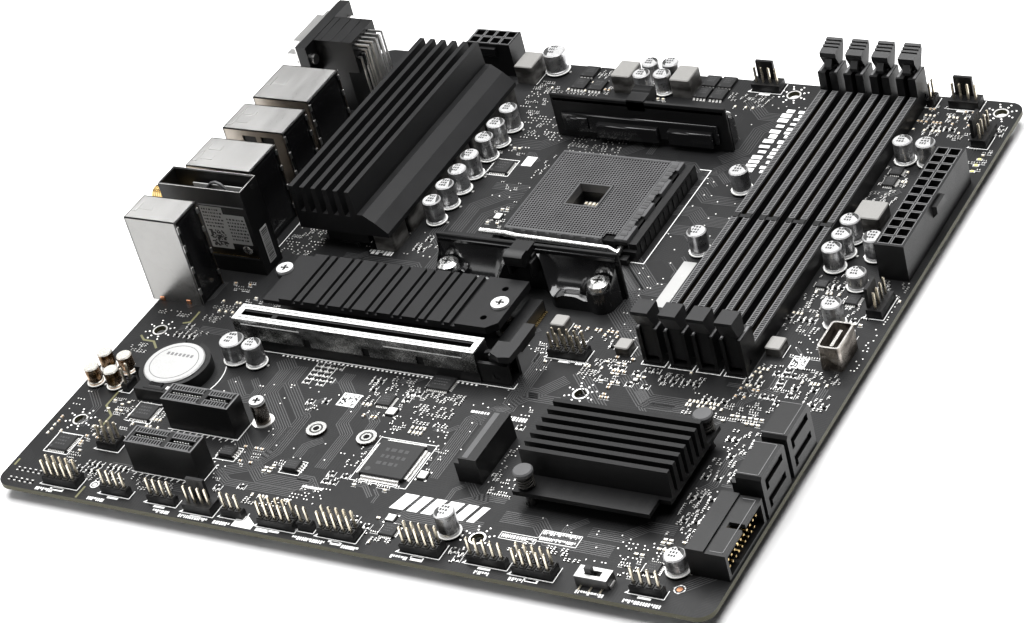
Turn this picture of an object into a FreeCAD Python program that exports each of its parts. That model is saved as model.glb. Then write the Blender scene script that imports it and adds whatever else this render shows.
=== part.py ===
"""Micro-ATX computer main board with its sockets, slots, heatsinks, headers and rear ports.

Lengths are in millimetres. While a piece is being drawn, x runs from the board's rear-port
edge, y runs from the edge with the row of pin headers, and h is the height above the board's
component face. Every piece is then moved so that the origin is the centre of the datum
mounting hole, on the underside of the board, with +Z up through the components.
"""
import FreeCAD
import Part
import math
import os

os.makedirs("parts", exist_ok=True)
Vec = FreeCAD.Vector

# ---------------------------------------------------------------- driving dimensions
INCH = 25.4
BOARD = 9.6 * INCH
BOARD_T = 1.6
BOARD_CORNER_R = 5.0
DATUM = (10.16, 78.74)
MOUNT_R = 2.0
MOUNT_HOLES = [(10.16, 33.02), (10.16, 78.74), (10.16, 214.63), (165.1, 13.97),
               (165.1, 78.74), (165.1, 237.49), (237.49, 237.49)]

SOCKET = (126.0, 164.0)
SOCKET_X = (106.0, 152.5)
SOCKET_Y = (142.0, 186.0)
SOCKET_SPLIT_H = 3.55
SOCKET_TOP_H = 7.0
WINDOW = 11.0
CAM_X = 147.5
CAM_R = 1.1
LEVER_R = 1.0
LEVER_Y = 140.6
COVER_TRAVEL = 1.2

COOLER_PITCH_X = 54.0
COOLER_PITCH_Y = 90.0
COOLER_HOLE_R = 2.25
RAIL_TOP_H = 16.7
TOWER_R = 4.3
TOWER_H = 7.4
BRACKET_SCREW_R = 1.5

DIMM_X = 181.1
DIMM_PITCH = 9.1
DIMM_COUNT = 4
DIMM_Y = (96.3, 241.2)
DIMM_W = 6.8
DIMM_RAIL_H = 6.3
DIMM_TOWER_H = 13.0
DIMM_CHANNEL_Y = (101.7, 235.8)
DIMM_KEY_Y = 163.0
LATCH_TOP_H = 20.5
LATCH_W = 5.6
LATCH_PIVOT_H = 3.2
LATCH_PIVOT_IN = 2.9
LATCH_PIN_R = 0.9

SLOT_X = 43.1
SLOT_W = 7.5
SLOT_H = 11.25
X16_Y = 80.75
X16_LENGTH = 89.0
X1_LENGTH = 25.0
X1_YS = (19.7, 40.0)
KEY_FROM_END = 14.2
SHIELD_T = 0.4
SHIELD_NOTCHES = (26.9, 48.7, 68.4)     # from the start of the long slot
CARD_LATCH_X = 138.0
CARD_LATCH_H = 3.2

HEATSINK_X = (46.0, 131.4)
HEATSINK_Y = (90.5, 114.3)
HEATSINK_H = (7.4, 10.0)
HEATSINK_STEP = 1.2
M2_LEFT_SCREW = (45.0, 106.1)
M2_RIGHT_SCREW = (127.7, 102.0)
M2_FOOT_SCREW = (72.2, 45.3)

CHIPSET_X = (170.0, 217.0)
CHIPSET_Y = (28.6, 68.0)
CHIPSET_BASE_H = (4.5, 6.0)
CHIPSET_FIN_TOP = 14.8
CHIPSET_FINS = 7
CHIPSET_FIN_Y = 37.5
CHIPSET_FIN_PITCH = 3.56
CHIPSET_CENTRE = (193.5, 48.3)
PUSH_PINS = {"left": (173.5, 31.4), "right": (214.0, 65.2)}
PUSH_PIN_CAP_H = (11.0, 12.4)
SPRING_R = 2.3
SPRING_WIRE_R = 0.34
SPRING_TURNS = 4

VRM_Y = (129.3, 218.0)
VRM_FIN_X = 37.4
VRM_FIN_PITCH = 4.34
VRM_FINS = 6
VRM_FIN_T = 1.7
VRM_FIN_TOP = 24.3
VRM_FIN_ROOT = 14.6
VRM_UNDERSIDE = 7.8
VRM_BOSS_X = (44.0, 60.0)
VRM_SCREWS = [(52.0, 136.5), (52.0, 211.0)]

CELL_PITCH = 4.2
CELL = 3.3
PIN_PITCH = 2.54
PIN = 0.64
HEADER_H = 2.54
HEADER_PIN_TOP = 8.5

CELL_CENTRE = (30.4, 59.7)
COIN_R = 10.0
COIN_H = (1.9, 5.1)

WALL = 0.4

# can capacitors: centre, radius, height
SOCKET_SIDE_CANS = [(75.4, y, 3.15, 9.0) for y in (203.7, 194.6, 186.3, 176.0, 167.4, 158.8, 149.9)]
MEMORY_CANS = [(170.9, 183.2, 3.15, 8.5), (171.4, 150.3, 3.15, 8.5), (217.1, 207.0, 3.15, 8.5),
               (224.8, 207.0, 3.15, 8.5), (216.9, 164.7, 3.15, 8.5), (217.2, 157.3, 3.15, 8.5),
               (216.9, 150.2, 3.15, 8.5), (227.2, 157.5, 3.15, 8.5), (227.7, 124.4, 3.15, 8.5),
               (227.5, 142.8, 3.15, 6.0)]
OTHER_CANS = [(54.4, 69.9, 3.15, 8.5), (46.3, 70.7, 4.0, 8.2), (156.4, 13.8, 3.15, 8.5),
              (227.7, 15.3, 3.15, 6.5), (74.6, 239.3, 4.0, 8.6), (112.5, 231.5, 3.0, 8.0),
              (119.7, 232.5, 3.0, 8.0), (112.5, 238.4, 3.0, 8.0), (119.7, 239.4, 3.0, 8.0)]
AUDIO_CANS = [(4.9, 50.0, 2.5, 7.0), (12.6, 50.0, 2.5, 7.0), (4.9, 57.5, 2.5, 7.0),
              (12.6, 57.5, 2.5, 7.0)]

# pin headers: first pin, columns along x, rows along y
PIN_GROUPS = [((18.1, 5.0), 5, 2), ((40.0, 5.5), 4, 1), ((57.4, 5.5), 4, 1), ((84.6, 5.3), 3, 1),
              ((98.0, 4.4), 5, 2), ((111.4, 5.6), 2, 1), ((118.8, 4.9), 5, 2),
              ((146.6, 4.9), 5, 2), ((168.2, 5.5), 5, 1), ((183.3, 4.5), 5, 2),
              ((219.2, 5.9), 4, 1), ((148.0, 94.0), 5, 2), ((26.0, 23.4), 3, 2),
              ((17.4, 49.6), 1, 2), ((213.6, 238.5), 1, 2)]
# fan headers: first pin, direction of the row
FAN_HEADERS = [((71.4, 5.2), "x"), ((151.0, 239.6), "x"), ((221.0, 239.8), "x"),
               ((237.6, 219.2), "y"), ((238.2, 131.0), "y")]
FAN_PINS = 4

# flat chips: x range, y range, height
CHIPS = [((116.0, 131.0), (30.0, 45.0), 1.5), ((8.0, 15.2), (18.0, 25.2), 0.9),
         ((26.5, 34.0), (37.0, 44.0), 0.9), ((79.2, 86.0), (178.5, 185.5), 0.9),
         ((104.0, 109.0), (60.0, 65.0), 1.0), ((116.0, 124.0), (70.5, 76.5), 1.0),
         ((135.5, 140.5), (8.0, 13.0), 1.0), ((218.0, 222.6), (12.0, 16.6), 1.0),
         ((67.0, 72.0), (27.5, 31.5), 1.6), ((91.0, 96.0), (26.5, 30.5), 1.6),
         ((214.5, 218.5), (193.0, 197.6), 1.0), ((214.5, 218.5), (199.0, 203.0), 1.0),
         ((226.5, 230.5), (134.0, 138.6), 1.0), ((214.3, 218.0), (140.0, 143.4), 1.0)]
MOSFET = (5.0, 6.0, 1.1)
TOP_MOSFETS = [(87.2, 232.2), (94.0, 232.2), (87.2, 239.6), (133.6, 233.2), (139.6, 233.2),
               (133.6, 240.2), (139.6, 240.2)]
VRM_MOSFETS = [(x, 139.0 + 9.2 * row) for x in (47.9, 56.1) for row in range(8)]

# moulded power chokes: x range, y range, height
CHOKES = [((62.8, 70.0), (230.2, 239.9), 7.0), ((101.0, 108.4), (229.8, 239.4), 7.0),
          ((123.2, 130.6), (230.3, 239.5), 7.0), ((214.2, 223.2), (170.5, 179.8), 4.6),
          ((212.7, 217.8), (106.8, 112.8), 3.0), ((141.8, 146.8), (104.2, 109.4), 3.0),
          ((167.2, 172.0), (97.8, 102.8), 3.0)]
VRM_CHOKE_YS = [136.5 + 11.0 * row for row in range(8)]


# ---------------------------------------------------------------- shape helpers
def block(x, y, h):
    """Box between pairs of x, y and height above the board."""
    return Part.makeBox(x[1] - x[0], y[1] - y[0], h[1] - h[0], Vec(x[0], y[0], BOARD_T + h[0]))


def around(centre, half, h):
    """Box about a centre, given by its half widths."""
    x, y = centre
    return block((x - half[0], x + half[0]), (y - half[1], y + half[1]), h)


def post(centre, radius, h):
    return Part.makeCylinder(radius, h[1] - h[0], Vec(centre[0], centre[1], BOARD_T + h[0]))


def rod_x(x, y, h, radius):
    return Part.makeCylinder(radius, x[1] - x[0], Vec(x[0], y, BOARD_T + h), Vec(1, 0, 0))


def rod_y(x, y, h, radius):
    return Part.makeCylinder(radius, y[1] - y[0], Vec(x, y[0], BOARD_T + h), Vec(0, 1, 0))


def face_of(points):
    return Part.Face(Part.makePolygon([Vec(*p) for p in points + points[:1]]))


def across_x(profile, x):
    """Extrude a (y, h) outline along x."""
    face = face_of([(x[0], y, BOARD_T + h) for y, h in profile])
    return face.extrude(Vec(x[1] - x[0], 0, 0))


def across_y(profile, y):
    """Extrude an (x, h) outline along y."""
    face = face_of([(px, y[0], BOARD_T + h) for px, h in profile])
    return face.extrude(Vec(0, y[1] - y[0], 0))


def upright(outline, h):
    """Extrude an (x, y) outline upwards."""
    face = face_of([(x, y, BOARD_T + h[0]) for x, y in outline])
    return face.extrude(Vec(0, 0, h[1] - h[0]))


def bent_rod(points, radius):
    """Round wire through (x, y, h) points, with ball-rounded bends."""
    path = [Vec(x, y, BOARD_T + h) for x, y, h in points]
    wire = None
    for start, end in zip(path, path[1:]):
        run = end - start
        piece = Part.makeCylinder(radius, run.Length, start, run)
        piece = piece.fuse(Part.makeSphere(radius, end))
        wire = piece if wire is None else wire.fuse(piece)
    return wire.removeSplitter()


def straight_edges(shape, axis):
    found = []
    for edge in shape.Edges:
        if isinstance(edge.Curve, Part.Line):
            run = edge.Vertexes[1].Point - edge.Vertexes[0].Point
            if abs(run.dot(axis)) > 0.999 * run.Length:
                found.append(edge)
    return found


def rounded(shape, radius, axis=Vec(0, 0, 1)):
    return shape.makeFillet(radius, straight_edges(shape, axis))


def chamfered_top(shape, size):
    """Bevel the straight edges around a shape's highest face."""
    top = shape.BoundBox.ZMax
    edges = [e for e in shape.Edges if min(v.Z for v in e.Vertexes) > top - 1e-6]
    return shape.makeChamfer(size, edges)


def join(shapes):
    whole = shapes[0]
    for other in shapes[1:]:
        whole = whole.fuse(other)
    return whole.removeSplitter()


def without(shape, tools):
    return shape.cut(Part.makeCompound(tools))


def group(shapes):
    return Part.makeCompound(shapes)


def flipped_y(shape, y):
    """Mirror a shape in the plane at the given y."""
    return shape.mirror(Vec(0, y, 0), Vec(0, 1, 0))


# ---------------------------------------------------------------- board
def cooler_holes():
    half_x = COOLER_PITCH_X / 2
    half_y = COOLER_PITCH_Y / 2
    return [(SOCKET[0] + sx * half_x, SOCKET[1] + sy * half_y) for sx in (-1, 1) for sy in (-1, 1)]


def pcb():
    board = rounded(Part.makeBox(BOARD, BOARD, BOARD_T), BOARD_CORNER_R)
    through = (-BOARD_T - 1, 1)
    holes = [post(at, MOUNT_R, through) for at in MOUNT_HOLES]
    holes += [post(at, COOLER_HOLE_R, through) for at in cooler_holes()]
    holes += [post(at, 1.6, through) for at in PUSH_PINS.values()]
    holes += [post(at, 1.7, through) for at in VRM_SCREWS]
    return without(board, holes)


# ---------------------------------------------------------------- processor socket
def window_void():
    half = WINDOW / 2
    return around(SOCKET, (half, half), (-1, SOCKET_TOP_H + 1))


def socket_base():
    body = block((105.4, 153.2), (SOCKET_Y[0], 187.0), (0, SOCKET_SPLIT_H))
    ledge = block((112.0, 151.0), (139.4, SOCKET_Y[0]), (0, 2.2))
    rest = block((102.6, 105.4), (139.6, 142.6), (0, 4.6))
    hinge_wall = block((150.6, 153.2), (143.4, 187.0), (SOCKET_SPLIT_H, 5.6))
    cam_channel = rod_y(CAM_X, (SOCKET_Y[0] - 1, 185.4), SOCKET_SPLIT_H, CAM_R + 0.15)
    return without(join([body, ledge, rest, hinge_wall]), [window_void(), cam_channel])


def socket_cover():
    plate = block((SOCKET_X[0], 150.4 - 0.1), (142.8, SOCKET_Y[1]), (3.6, SOCKET_TOP_H))
    left_lug = block((107.6, 113.0), (142.8, 147.0), (3.6, SOCKET_TOP_H))
    hinge_cap = block((150.2, 152.4), (143.4, SOCKET_Y[1]), (5.7, SOCKET_TOP_H))
    cam_slot = block((CAM_X - 1.3, CAM_X + 1.3 + COVER_TRAVEL), (142.0, 185.4), (3.0, 4.85))
    notch = block((141.6, 146.0), (142.0, 144.6), (3.0, SOCKET_TOP_H + 1))
    return without(join([plate, left_lug, hinge_cap]), [window_void(), cam_slot, notch])


def socket_lever():
    shaft = rod_y(CAM_X, (LEVER_Y, 185.0), SOCKET_SPLIT_H, CAM_R)
    arm = bent_rod([(CAM_X, LEVER_Y, SOCKET_SPLIT_H), (CAM_X - 3.0, LEVER_Y, 5.2),
                    (112.0, LEVER_Y, 5.7), (108.0, 141.15, 5.8), (98.2, 141.15, 5.8)], LEVER_R)
    return join([shaft, arm])


def socket_capacitors():
    """Small ceramic capacitors on the board inside the socket's window."""
    return group([around((SOCKET[0] - 3.6 + 1.44 * col, SOCKET[1] - 3.0 + 2.0 * row),
                         (0.42, 0.8), (0, 1.1)) for col in range(6) for row in range(4)])


def bracket_shape():
    """Cooler bracket on the +Y side of the socket."""
    cx, cy = SOCKET
    inner = cy + 38.8
    screw_y = cy + COOLER_PITCH_Y / 2
    rail = block((cx - 32.4, cx + 32.6), (inner, inner + 1.3), (0, RAIL_TOP_H))
    foot = across_x([(inner, 0), (inner + 10.2, 0), (inner + 10.2, 3.6), (inner + 8.6, 4.0),
                     (inner + 6.2, 5.2), (inner + 3.8, 7.4), (inner + 2.3, 10.4),
                     (inner + 1.3, 14.0), (inner, 14.0)], (cx - 29.0, cx + 29.0))
    pillar = across_x([(inner, 0), (inner + 10.2, 0), (inner + 10.2, 3.6), (inner + 9.0, 8.0),
                       (inner + 7.6, 14.4), (inner, 14.4)],
                      (cx - 4.0, cx + 4.0))
    lug = across_x([(inner, 13.0), (inner + 8.4, 13.0), (inner + 9.2, 14.2), (inner + 9.2, 17.2),
                    (inner + 8.2, 17.7), (inner, 17.7)], (cx - 3.3, cx + 3.3))
    towers = [post((cx + sx * COOLER_PITCH_X / 2, screw_y), TOWER_R, (0, TOWER_H)) for sx in (-1, 1)]
    body = join([rail, foot, pillar, lug] + towers)
    voids = []
    for sx in (-1, 1):
        at = (cx + sx * COOLER_PITCH_X / 2, screw_y)
        voids.append(post(at, BRACKET_SCREW_R + 0.2, (-1, TOWER_H + 1)))
        voids.append(post(at, 2.3, (-1, 4.4)))
        voids.append(post(at, TOWER_R, (TOWER_H, RAIL_TOP_H + 2)))
    return without(body, voids)


def retention_brackets():
    rear = bracket_shape()
    return group([rear, flipped_y(rear, SOCKET[1])])


def phillips(centre, top, depth=0.9, arm=1.9, width=0.7):
    cross = around(centre, (arm, width / 2), (top - depth, top + 1))
    return cross.fuse(around(centre, (width / 2, arm), (top - depth, top + 1)))


def bracket_screws():
    screws = []
    for at in cooler_holes():
        head = post(at, 3.5, (TOWER_H, TOWER_H + 2.0))
        dome = Part.makeCone(3.5, 2.3, 0.9, Vec(at[0], at[1], BOARD_T + TOWER_H + 2.0))
        shank = post(at, BRACKET_SCREW_R, (-2.6, TOWER_H))
        screws.append(join([head, dome, shank]).cut(phillips(at, TOWER_H + 2.9)))
    return group(screws)


def socket_backplate():
    """Steel plate under the board, with threaded posts standing in the cooler holes."""
    low = -BOARD_T - 1.8
    cx, cy = SOCKET
    half_x = COOLER_PITCH_X / 2 + 6.5
    half_y = COOLER_PITCH_Y / 2 + 6.5
    plate = rounded(around(SOCKET, (half_x, half_y), (low, -BOARD_T)), 6.0)
    opening = rounded(around(SOCKET, (19.0, 24.0), (low - 1, -BOARD_T + 1)), 4.0)
    plate = plate.cut(opening)
    posts = [post(at, 2.1, (low, 3.6)) for at in cooler_holes()]
    bores = [post(at, BRACKET_SCREW_R, (low - 1, 4.6)) for at in cooler_holes()]
    return without(join([plate] + posts), bores)


# ---------------------------------------------------------------- memory slots
def dimm_centres():
    return [DIMM_X + DIMM_PITCH * slot for slot in range(DIMM_COUNT)]


def dimm_slot(cx):
    half = DIMM_W / 2
    body = block((cx - half, cx + half), DIMM_Y, (0, DIMM_RAIL_H))
    near = block((cx - half, cx + half), (DIMM_Y[0], DIMM_Y[0] + 8.0), (0, DIMM_TOWER_H))
    far = block((cx - half, cx + half), (DIMM_Y[1] - 8.0, DIMM_Y[1]), (0, DIMM_TOWER_H))
    body = join([body, near, far])
    top = DIMM_TOWER_H + 1
    mid = (DIMM_Y[0] + DIMM_Y[1]) / 2
    channel = block((cx - 0.8, cx + 0.8), DIMM_CHANNEL_Y, (1.2, top))
    near_pocket = block((cx - 2.15, cx + 2.15), (DIMM_Y[0] - 1, DIMM_CHANNEL_Y[0]), (1.0, top))
    far_pocket = flipped_y(near_pocket, mid)
    near_pin = rod_x((cx - half - 1, cx + half + 1), DIMM_Y[0] + LATCH_PIVOT_IN, LATCH_PIVOT_H,
                     LATCH_PIN_R + 0.06)
    far_pin = flipped_y(near_pin, mid)
    contacts = [block((cx - 1.5, cx + 1.5), y, (1.6, 5.3)) for y in dimm_contact_runs()]
    body = without(body, [channel, near_pocket, far_pocket, near_pin, far_pin] + contacts)
    key = block((cx - 0.8, cx + 0.8), (DIMM_KEY_Y - 0.75, DIMM_KEY_Y + 0.75), (1.0, DIMM_RAIL_H))
    return body.fuse(key).removeSplitter()


def dimm_contact_runs():
    return [(DIMM_CHANNEL_Y[0] + 3.5, DIMM_KEY_Y - 1.6), (DIMM_KEY_Y + 1.6, DIMM_CHANNEL_Y[1] - 3.5)]


def dimm_slots():
    return group([dimm_slot(cx) for cx in dimm_centres()])


def dimm_contacts():
    """Each row of spring contacts is drawn as one strip."""
    strips = []
    for cx in dimm_centres():
        for y in dimm_contact_runs():
            for side in (-1, 1):
                x = sorted((cx + side * 0.95, cx + side * 1.4))
                strips.append(block(x, y, (1.8, 5.1)))
    return group(strips)


def latch_near(cx, ribbed):
    """Latch at the low-y end of a memory slot; the pivot pin lies along x."""
    py = DIMM_Y[0] + LATCH_PIVOT_IN
    blade = block((cx - 2.0, cx + 2.0), (py - 2.1, py + 2.1), (LATCH_PIVOT_H, 14.2))
    hub = rod_x((cx - 2.0, cx + 2.0), py, LATCH_PIVOT_H, 2.1)
    pins = rod_x((cx - 3.1, cx + 3.1), py, LATCH_PIVOT_H, LATCH_PIN_R)
    toe = block((cx - 0.65, cx + 0.65), (py, py + 4.2), (1.7, 3.0))
    nose = across_x([(py + 1.8, 13.6), (py + 4.0, 13.6), (py + 4.0, 14.6), (py + 1.8, 17.4)],
                    (cx - 1.2, cx + 1.2))
    half = LATCH_W / 2
    low = py - 4.6
    if ribbed:
        outline = [(low, LATCH_TOP_H - 1.8), (low, LATCH_TOP_H), (py + 2.6, LATCH_TOP_H - 1.6),
                   (py + 2.6, LATCH_TOP_H - 3.2), (py + 0.9, 13.8), (py - 2.1, 13.8)]
    else:
        outline = [(low, LATCH_TOP_H - 1.2), (low, LATCH_TOP_H), (py + 1.8, LATCH_TOP_H),
                   (py + 2.1, LATCH_TOP_H - 0.8), (py + 2.1, 13.8), (py - 2.1, 13.8)]
    grip = across_x(outline, (cx - half, cx + half))
    solid = join([blade, hub, pins, toe, nose, grip])
    if not ribbed:
        return solid
    grooves = []
    for rib in range(3):
        y = low + 1.1 + 1.45 * rib
        grooves.append(block((cx - half - 1, cx + half + 1), (y, y + 0.65),
                             (LATCH_TOP_H - 0.75 - 0.3 * rib, LATCH_TOP_H + 1)))
    return without(solid, grooves)


def latch_far(cx):
    mid = (DIMM_Y[0] + DIMM_Y[1]) / 2
    return flipped_y(latch_near(cx, True), mid)


# ---------------------------------------------------------------- expansion slots
def slot_housing(y, length, height):
    """Card slot with a keyed channel along x, open at the top."""
    half = SLOT_W / 2
    body = block((SLOT_X, SLOT_X + length), (y - half, y + half), (0, height))
    channel = block((SLOT_X + 1.6, SLOT_X + length - 1.2), (y - 0.85, y + 0.85), (2.4, height + 1))
    pockets = [block(x, (y - 1.9, y + 1.9), (3.0, 9.2)) for x in contact_runs(length)]
    key_x = SLOT_X + KEY_FROM_END
    key = block((key_x - 0.9, key_x + 0.9), (y - 0.85, y + 0.85), (2.0, height))
    return without(body, [channel] + pockets).fuse(key).removeSplitter()


def contact_runs(length):
    key_x = SLOT_X + KEY_FROM_END
    return [(SLOT_X + 2.6, key_x - 1.4), (key_x + 1.4, SLOT_X + length - 2.6)]


def contact_strips(y, length):
    strips = []
    for x in contact_runs(length):
        for side in (-1, 1):
            strips.append(block(x, sorted((y + side * 1.05, y + side * 1.75)), (3.1, 9.0)))
    return strips


def pcie_contacts():
    """Each row of card contacts is drawn as one strip."""
    strips = contact_strips(X16_Y, X16_LENGTH)
    for y in X1_YS:
        strips += contact_strips(y, X1_LENGTH)
    return group(strips)


def pcie_x16_slot():
    inner = SLOT_W / 2 - SHIELD_T
    body = slot_housing(X16_Y, X16_LENGTH, SLOT_H - SHIELD_T)
    end = SLOT_X + X16_LENGTH
    trimmed = [block((SLOT_X - 1, end + 1), (X16_Y - 5, X16_Y - inner), (3.6, SLOT_H)),
               block((SLOT_X - 1, end + 1), (X16_Y + inner, X16_Y + 5), (3.6, SLOT_H))]
    body = without(body, trimmed)
    cheeks = [block((end, 142.4), sorted((X16_Y + side * 2.15, X16_Y + side * 3.35)), (0, 7.4))
              for side in (-1, 1)]
    floor = block((end, 142.4), (X16_Y - 3.35, X16_Y + 3.35), (0, 0.8))
    pin_hole = rod_y(CARD_LATCH_X, (X16_Y - 5, X16_Y + 5), CARD_LATCH_H, 1.06)
    return join([body, floor] + cheeks).cut(pin_hole)


def pcie_x16_shield():
    """Folded steel cover over the long slot, open along the card channel."""
    half = SLOT_W / 2
    x = (SLOT_X + 0.2, SLOT_X + X16_LENGTH - 0.2)
    cover = block(x, (X16_Y - half, X16_Y + half), (3.6, SLOT_H))
    inside = block((x[0] - 1, x[1] + 1), (X16_Y - half + SHIELD_T, X16_Y + half - SHIELD_T),
                   (0, SLOT_H - SHIELD_T))
    mouth = block((x[0] + 2.2, x[1] - 2.2), (X16_Y - 1.5, X16_Y + 1.5), (SLOT_H - 2, SLOT_H + 1))
    notches = []
    for reach in SHIELD_NOTCHES:
        middle = SLOT_X + reach
        notches.append(block((middle - 1.3, middle + 1.3), (X16_Y - 6, X16_Y + 6), (3.0, 6.6)))
    return without(cover, [inside, mouth] + notches)


def pcie_x16_latch():
    """Card lock that tips away from the slot, with a side tab for the finger."""
    y = X16_Y
    hub = rod_y(CARD_LATCH_X, (y - 1.95, y + 1.95), CARD_LATCH_H, 2.2)
    pins = rod_y(CARD_LATCH_X, (y - 3.2, y + 3.2), CARD_LATCH_H, 1.0)
    blade = block((CARD_LATCH_X - 2.2, CARD_LATCH_X + 2.2), (y - 1.95, y + 1.95),
                  (CARD_LATCH_H, 9.8))
    hook = across_y([(CARD_LATCH_X - 5.4, 7.6), (CARD_LATCH_X, 6.4), (CARD_LATCH_X, 10.4),
                     (CARD_LATCH_X - 4.4, 9.4)], (y - 0.7, y + 0.7))
    head = upright([(137.2, y - 2.6), (140.8, y - 4.3), (144.6, y - 3.6), (144.9, y + 3.1),
                    (137.2, y + 3.1)], (9.4, 11.6))
    side_tab = block((141.2, 144.8), (y + 3.0, y + 12.6), (9.4, 11.6))
    rib = across_x([(y + 2.0, 9.4), (y + 12.6, 9.4), (y + 12.0, 7.8), (y + 3.6, 7.8)],
                   (142.6, 144.2))
    return join([hub, pins, blade, hook, head, side_tab, rib])


def pcie_x1_slots():
    return group([slot_housing(y, X1_LENGTH, SLOT_H) for y in X1_YS])


# ---------------------------------------------------------------- solid-state drive positions
def m2_heatsink():
    x0, x1 = HEATSINK_X
    y0, y1 = HEATSINK_Y
    low, top = HEATSINK_H
    step = top - HEATSINK_STEP
    plate = block((x0, x1), (y0, y1), (low, step))
    ear = post(M2_LEFT_SCREW, 3.3, (low, step))
    ear = ear.fuse(block((M2_LEFT_SCREW[0], x0 + 2), (M2_LEFT_SCREW[1] - 3.3, M2_LEFT_SCREW[1] + 3.3),
                         (low, step)))
    pad_end = block((x1 - 14.0, x1), (y0, y1), (low, top))
    ribs = []
    start = x0 + 6.4
    wide, narrow, gap = 4.9, 2.0, 1.15
    while start + wide < x1 - 14.0:
        ribs.append(block((start, start + wide), (y0, y1), (low, top)))
        start += wide + gap
        if start + narrow < x1 - 14.0:
            ribs.append(block((start, start + narrow), (y0, y1), (low, top)))
        start += narrow + gap
    body = join([plate, ear, pad_end] + ribs)
    corner = upright([(x1 - 4.0, y0 - 1), (x1 + 1, y0 - 1), (x1 + 1, y0 + 4.0)], (low - 1, top + 1))
    holes = [post(M2_LEFT_SCREW, 1.3, (0, top + 1)), post(M2_RIGHT_SCREW, 1.3, (0, top + 1)),
             post((125.5, 95.0), 1.1, (0, top + 1)), post((125.5, 109.4), 1.1, (0, top + 1))]
    return without(body, holes + [corner])


def m2_standoffs():
    """Board nuts and standoffs that take the drive and heatsink screws."""
    parts = []
    for at in ((91.7, 45.3), (109.7, 45.3)):
        parts.append(post(at, 3.2, (0, 1.0)).cut(post(at, 1.0, (-1, 2))))
    tall = [(M2_FOOT_SCREW, 7.6), (M2_LEFT_SCREW, HEATSINK_H[0]), (M2_RIGHT_SCREW, HEATSINK_H[0])]
    for at, height in tall:
        parts.append(post(at, 2.4, (0, height)).cut(post(at, 1.0, (height - 3.4, height + 1))))
    return group(parts)


def flat_screw(at, seat, head_r, head_t, depth):
    head = post(at, head_r, (seat, seat + head_t))
    shank = post(at, 1.0, (seat - depth, seat))
    return join([head, shank]).cut(phillips(at, seat + head_t, head_t * 0.6, head_r * 0.55, 0.6))


def heatsink_screws():
    """Screws of the drive heatsink, the drive standoff and the regulator heatsink."""
    screws = [flat_screw(M2_LEFT_SCREW, HEATSINK_H[1] - HEATSINK_STEP, 2.8, 0.9, 4.0),
              flat_screw(M2_RIGHT_SCREW, HEATSINK_H[1], 2.9, 0.9, 5.0),
              flat_screw(M2_FOOT_SCREW, 7.6, 2.3, 0.9, 2.6)]
    for at in VRM_SCREWS:
        head = post(at, 2.9, (-BOARD_T - 1.5, -BOARD_T))
        shank = post(at, 1.4, (-BOARD_T, 5.0))
        cross = phillips(at, -BOARD_T - 1.0, 2.0, 1.7, 0.7)
        screws.append(join([head, shank]).cut(cross))
    return group(screws)


def m2_connectors():
    upper = block((130.4, 135.2), (91.5, 113.5), (0, 4.1))
    upper = upper.cut(block((129.4, 133.8), (92.5, 112.5), (2.0, 3.1)))
    lower = block((149.4, 155.4), (34.8, 56.3), (0, 9.0))
    jaw = block((147.6, 149.4), (34.8, 56.3), (0, 7.0))
    lower = lower.fuse(jaw).cut(block((147.0, 153.6), (36.0, 55.1), (7.0, 8.1)))
    return group([upper, lower.removeSplitter()])


# ---------------------------------------------------------------- heatsinks and what they cool
def chipset_heatsink():
    base = block(CHIPSET_X, (CHIPSET_Y[0] + 6.5, CHIPSET_Y[1] - 6.5), CHIPSET_BASE_H)
    ears = [block((170.0, 213.5), (CHIPSET_Y[0], CHIPSET_Y[0] + 7.0), CHIPSET_BASE_H),
            block((187.0, 217.0), (CHIPSET_Y[1] - 7.0, CHIPSET_Y[1]), CHIPSET_BASE_H)]
    fins = []
    for fin in range(CHIPSET_FINS):
        y = CHIPSET_FIN_Y + CHIPSET_FIN_PITCH * fin
        fins.append(across_x([(y - 1.1, CHIPSET_BASE_H[1] - 0.2), (y + 1.1, CHIPSET_BASE_H[1] - 0.2),
                              (y + 0.8, CHIPSET_FIN_TOP), (y - 0.8, CHIPSET_FIN_TOP)], CHIPSET_X))
    body = join([base] + ears + fins)
    return without(body, [post(at, 1.7, (0, 20)) for at in PUSH_PINS.values()])


def chipset_package():
    carrier = around(CHIPSET_CENTRE, (10.5, 10.5), (0, 1.2))
    die = around(CHIPSET_CENTRE, (5.0, 5.0), (1.2, 2.0))
    return join([carrier, die])


def push_pin(at):
    cap = post(at, 3.0, PUSH_PIN_CAP_H)
    stem = post(at, 1.3, (-BOARD_T - 0.1, PUSH_PIN_CAP_H[0]))
    barb = Part.makeCone(0.9, 2.0, 2.4, Vec(at[0], at[1], -2.5))
    split = block((at[0] - 0.25, at[0] + 0.25), (at[1] - 3, at[1] + 3), (-BOARD_T - 4, -BOARD_T + 3))
    return join([chamfered_top_round(cap), stem, barb]).cut(split)


def chamfered_top_round(disc):
    top = disc.BoundBox.ZMax
    return disc.makeChamfer(0.4, [e for e in disc.Edges if e.BoundBox.ZMin > top - 1e-6])


def spring_wire():
    """Eight-sided outline of the spring's wire, where the coil starts."""
    corners = []
    for corner in range(9):
        angle = math.radians(45 * corner)
        corners.append(Vec(SPRING_R + SPRING_WIRE_R * math.cos(angle), 0, SPRING_WIRE_R * math.sin(angle)))
    return Part.makePolygon(corners)


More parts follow.
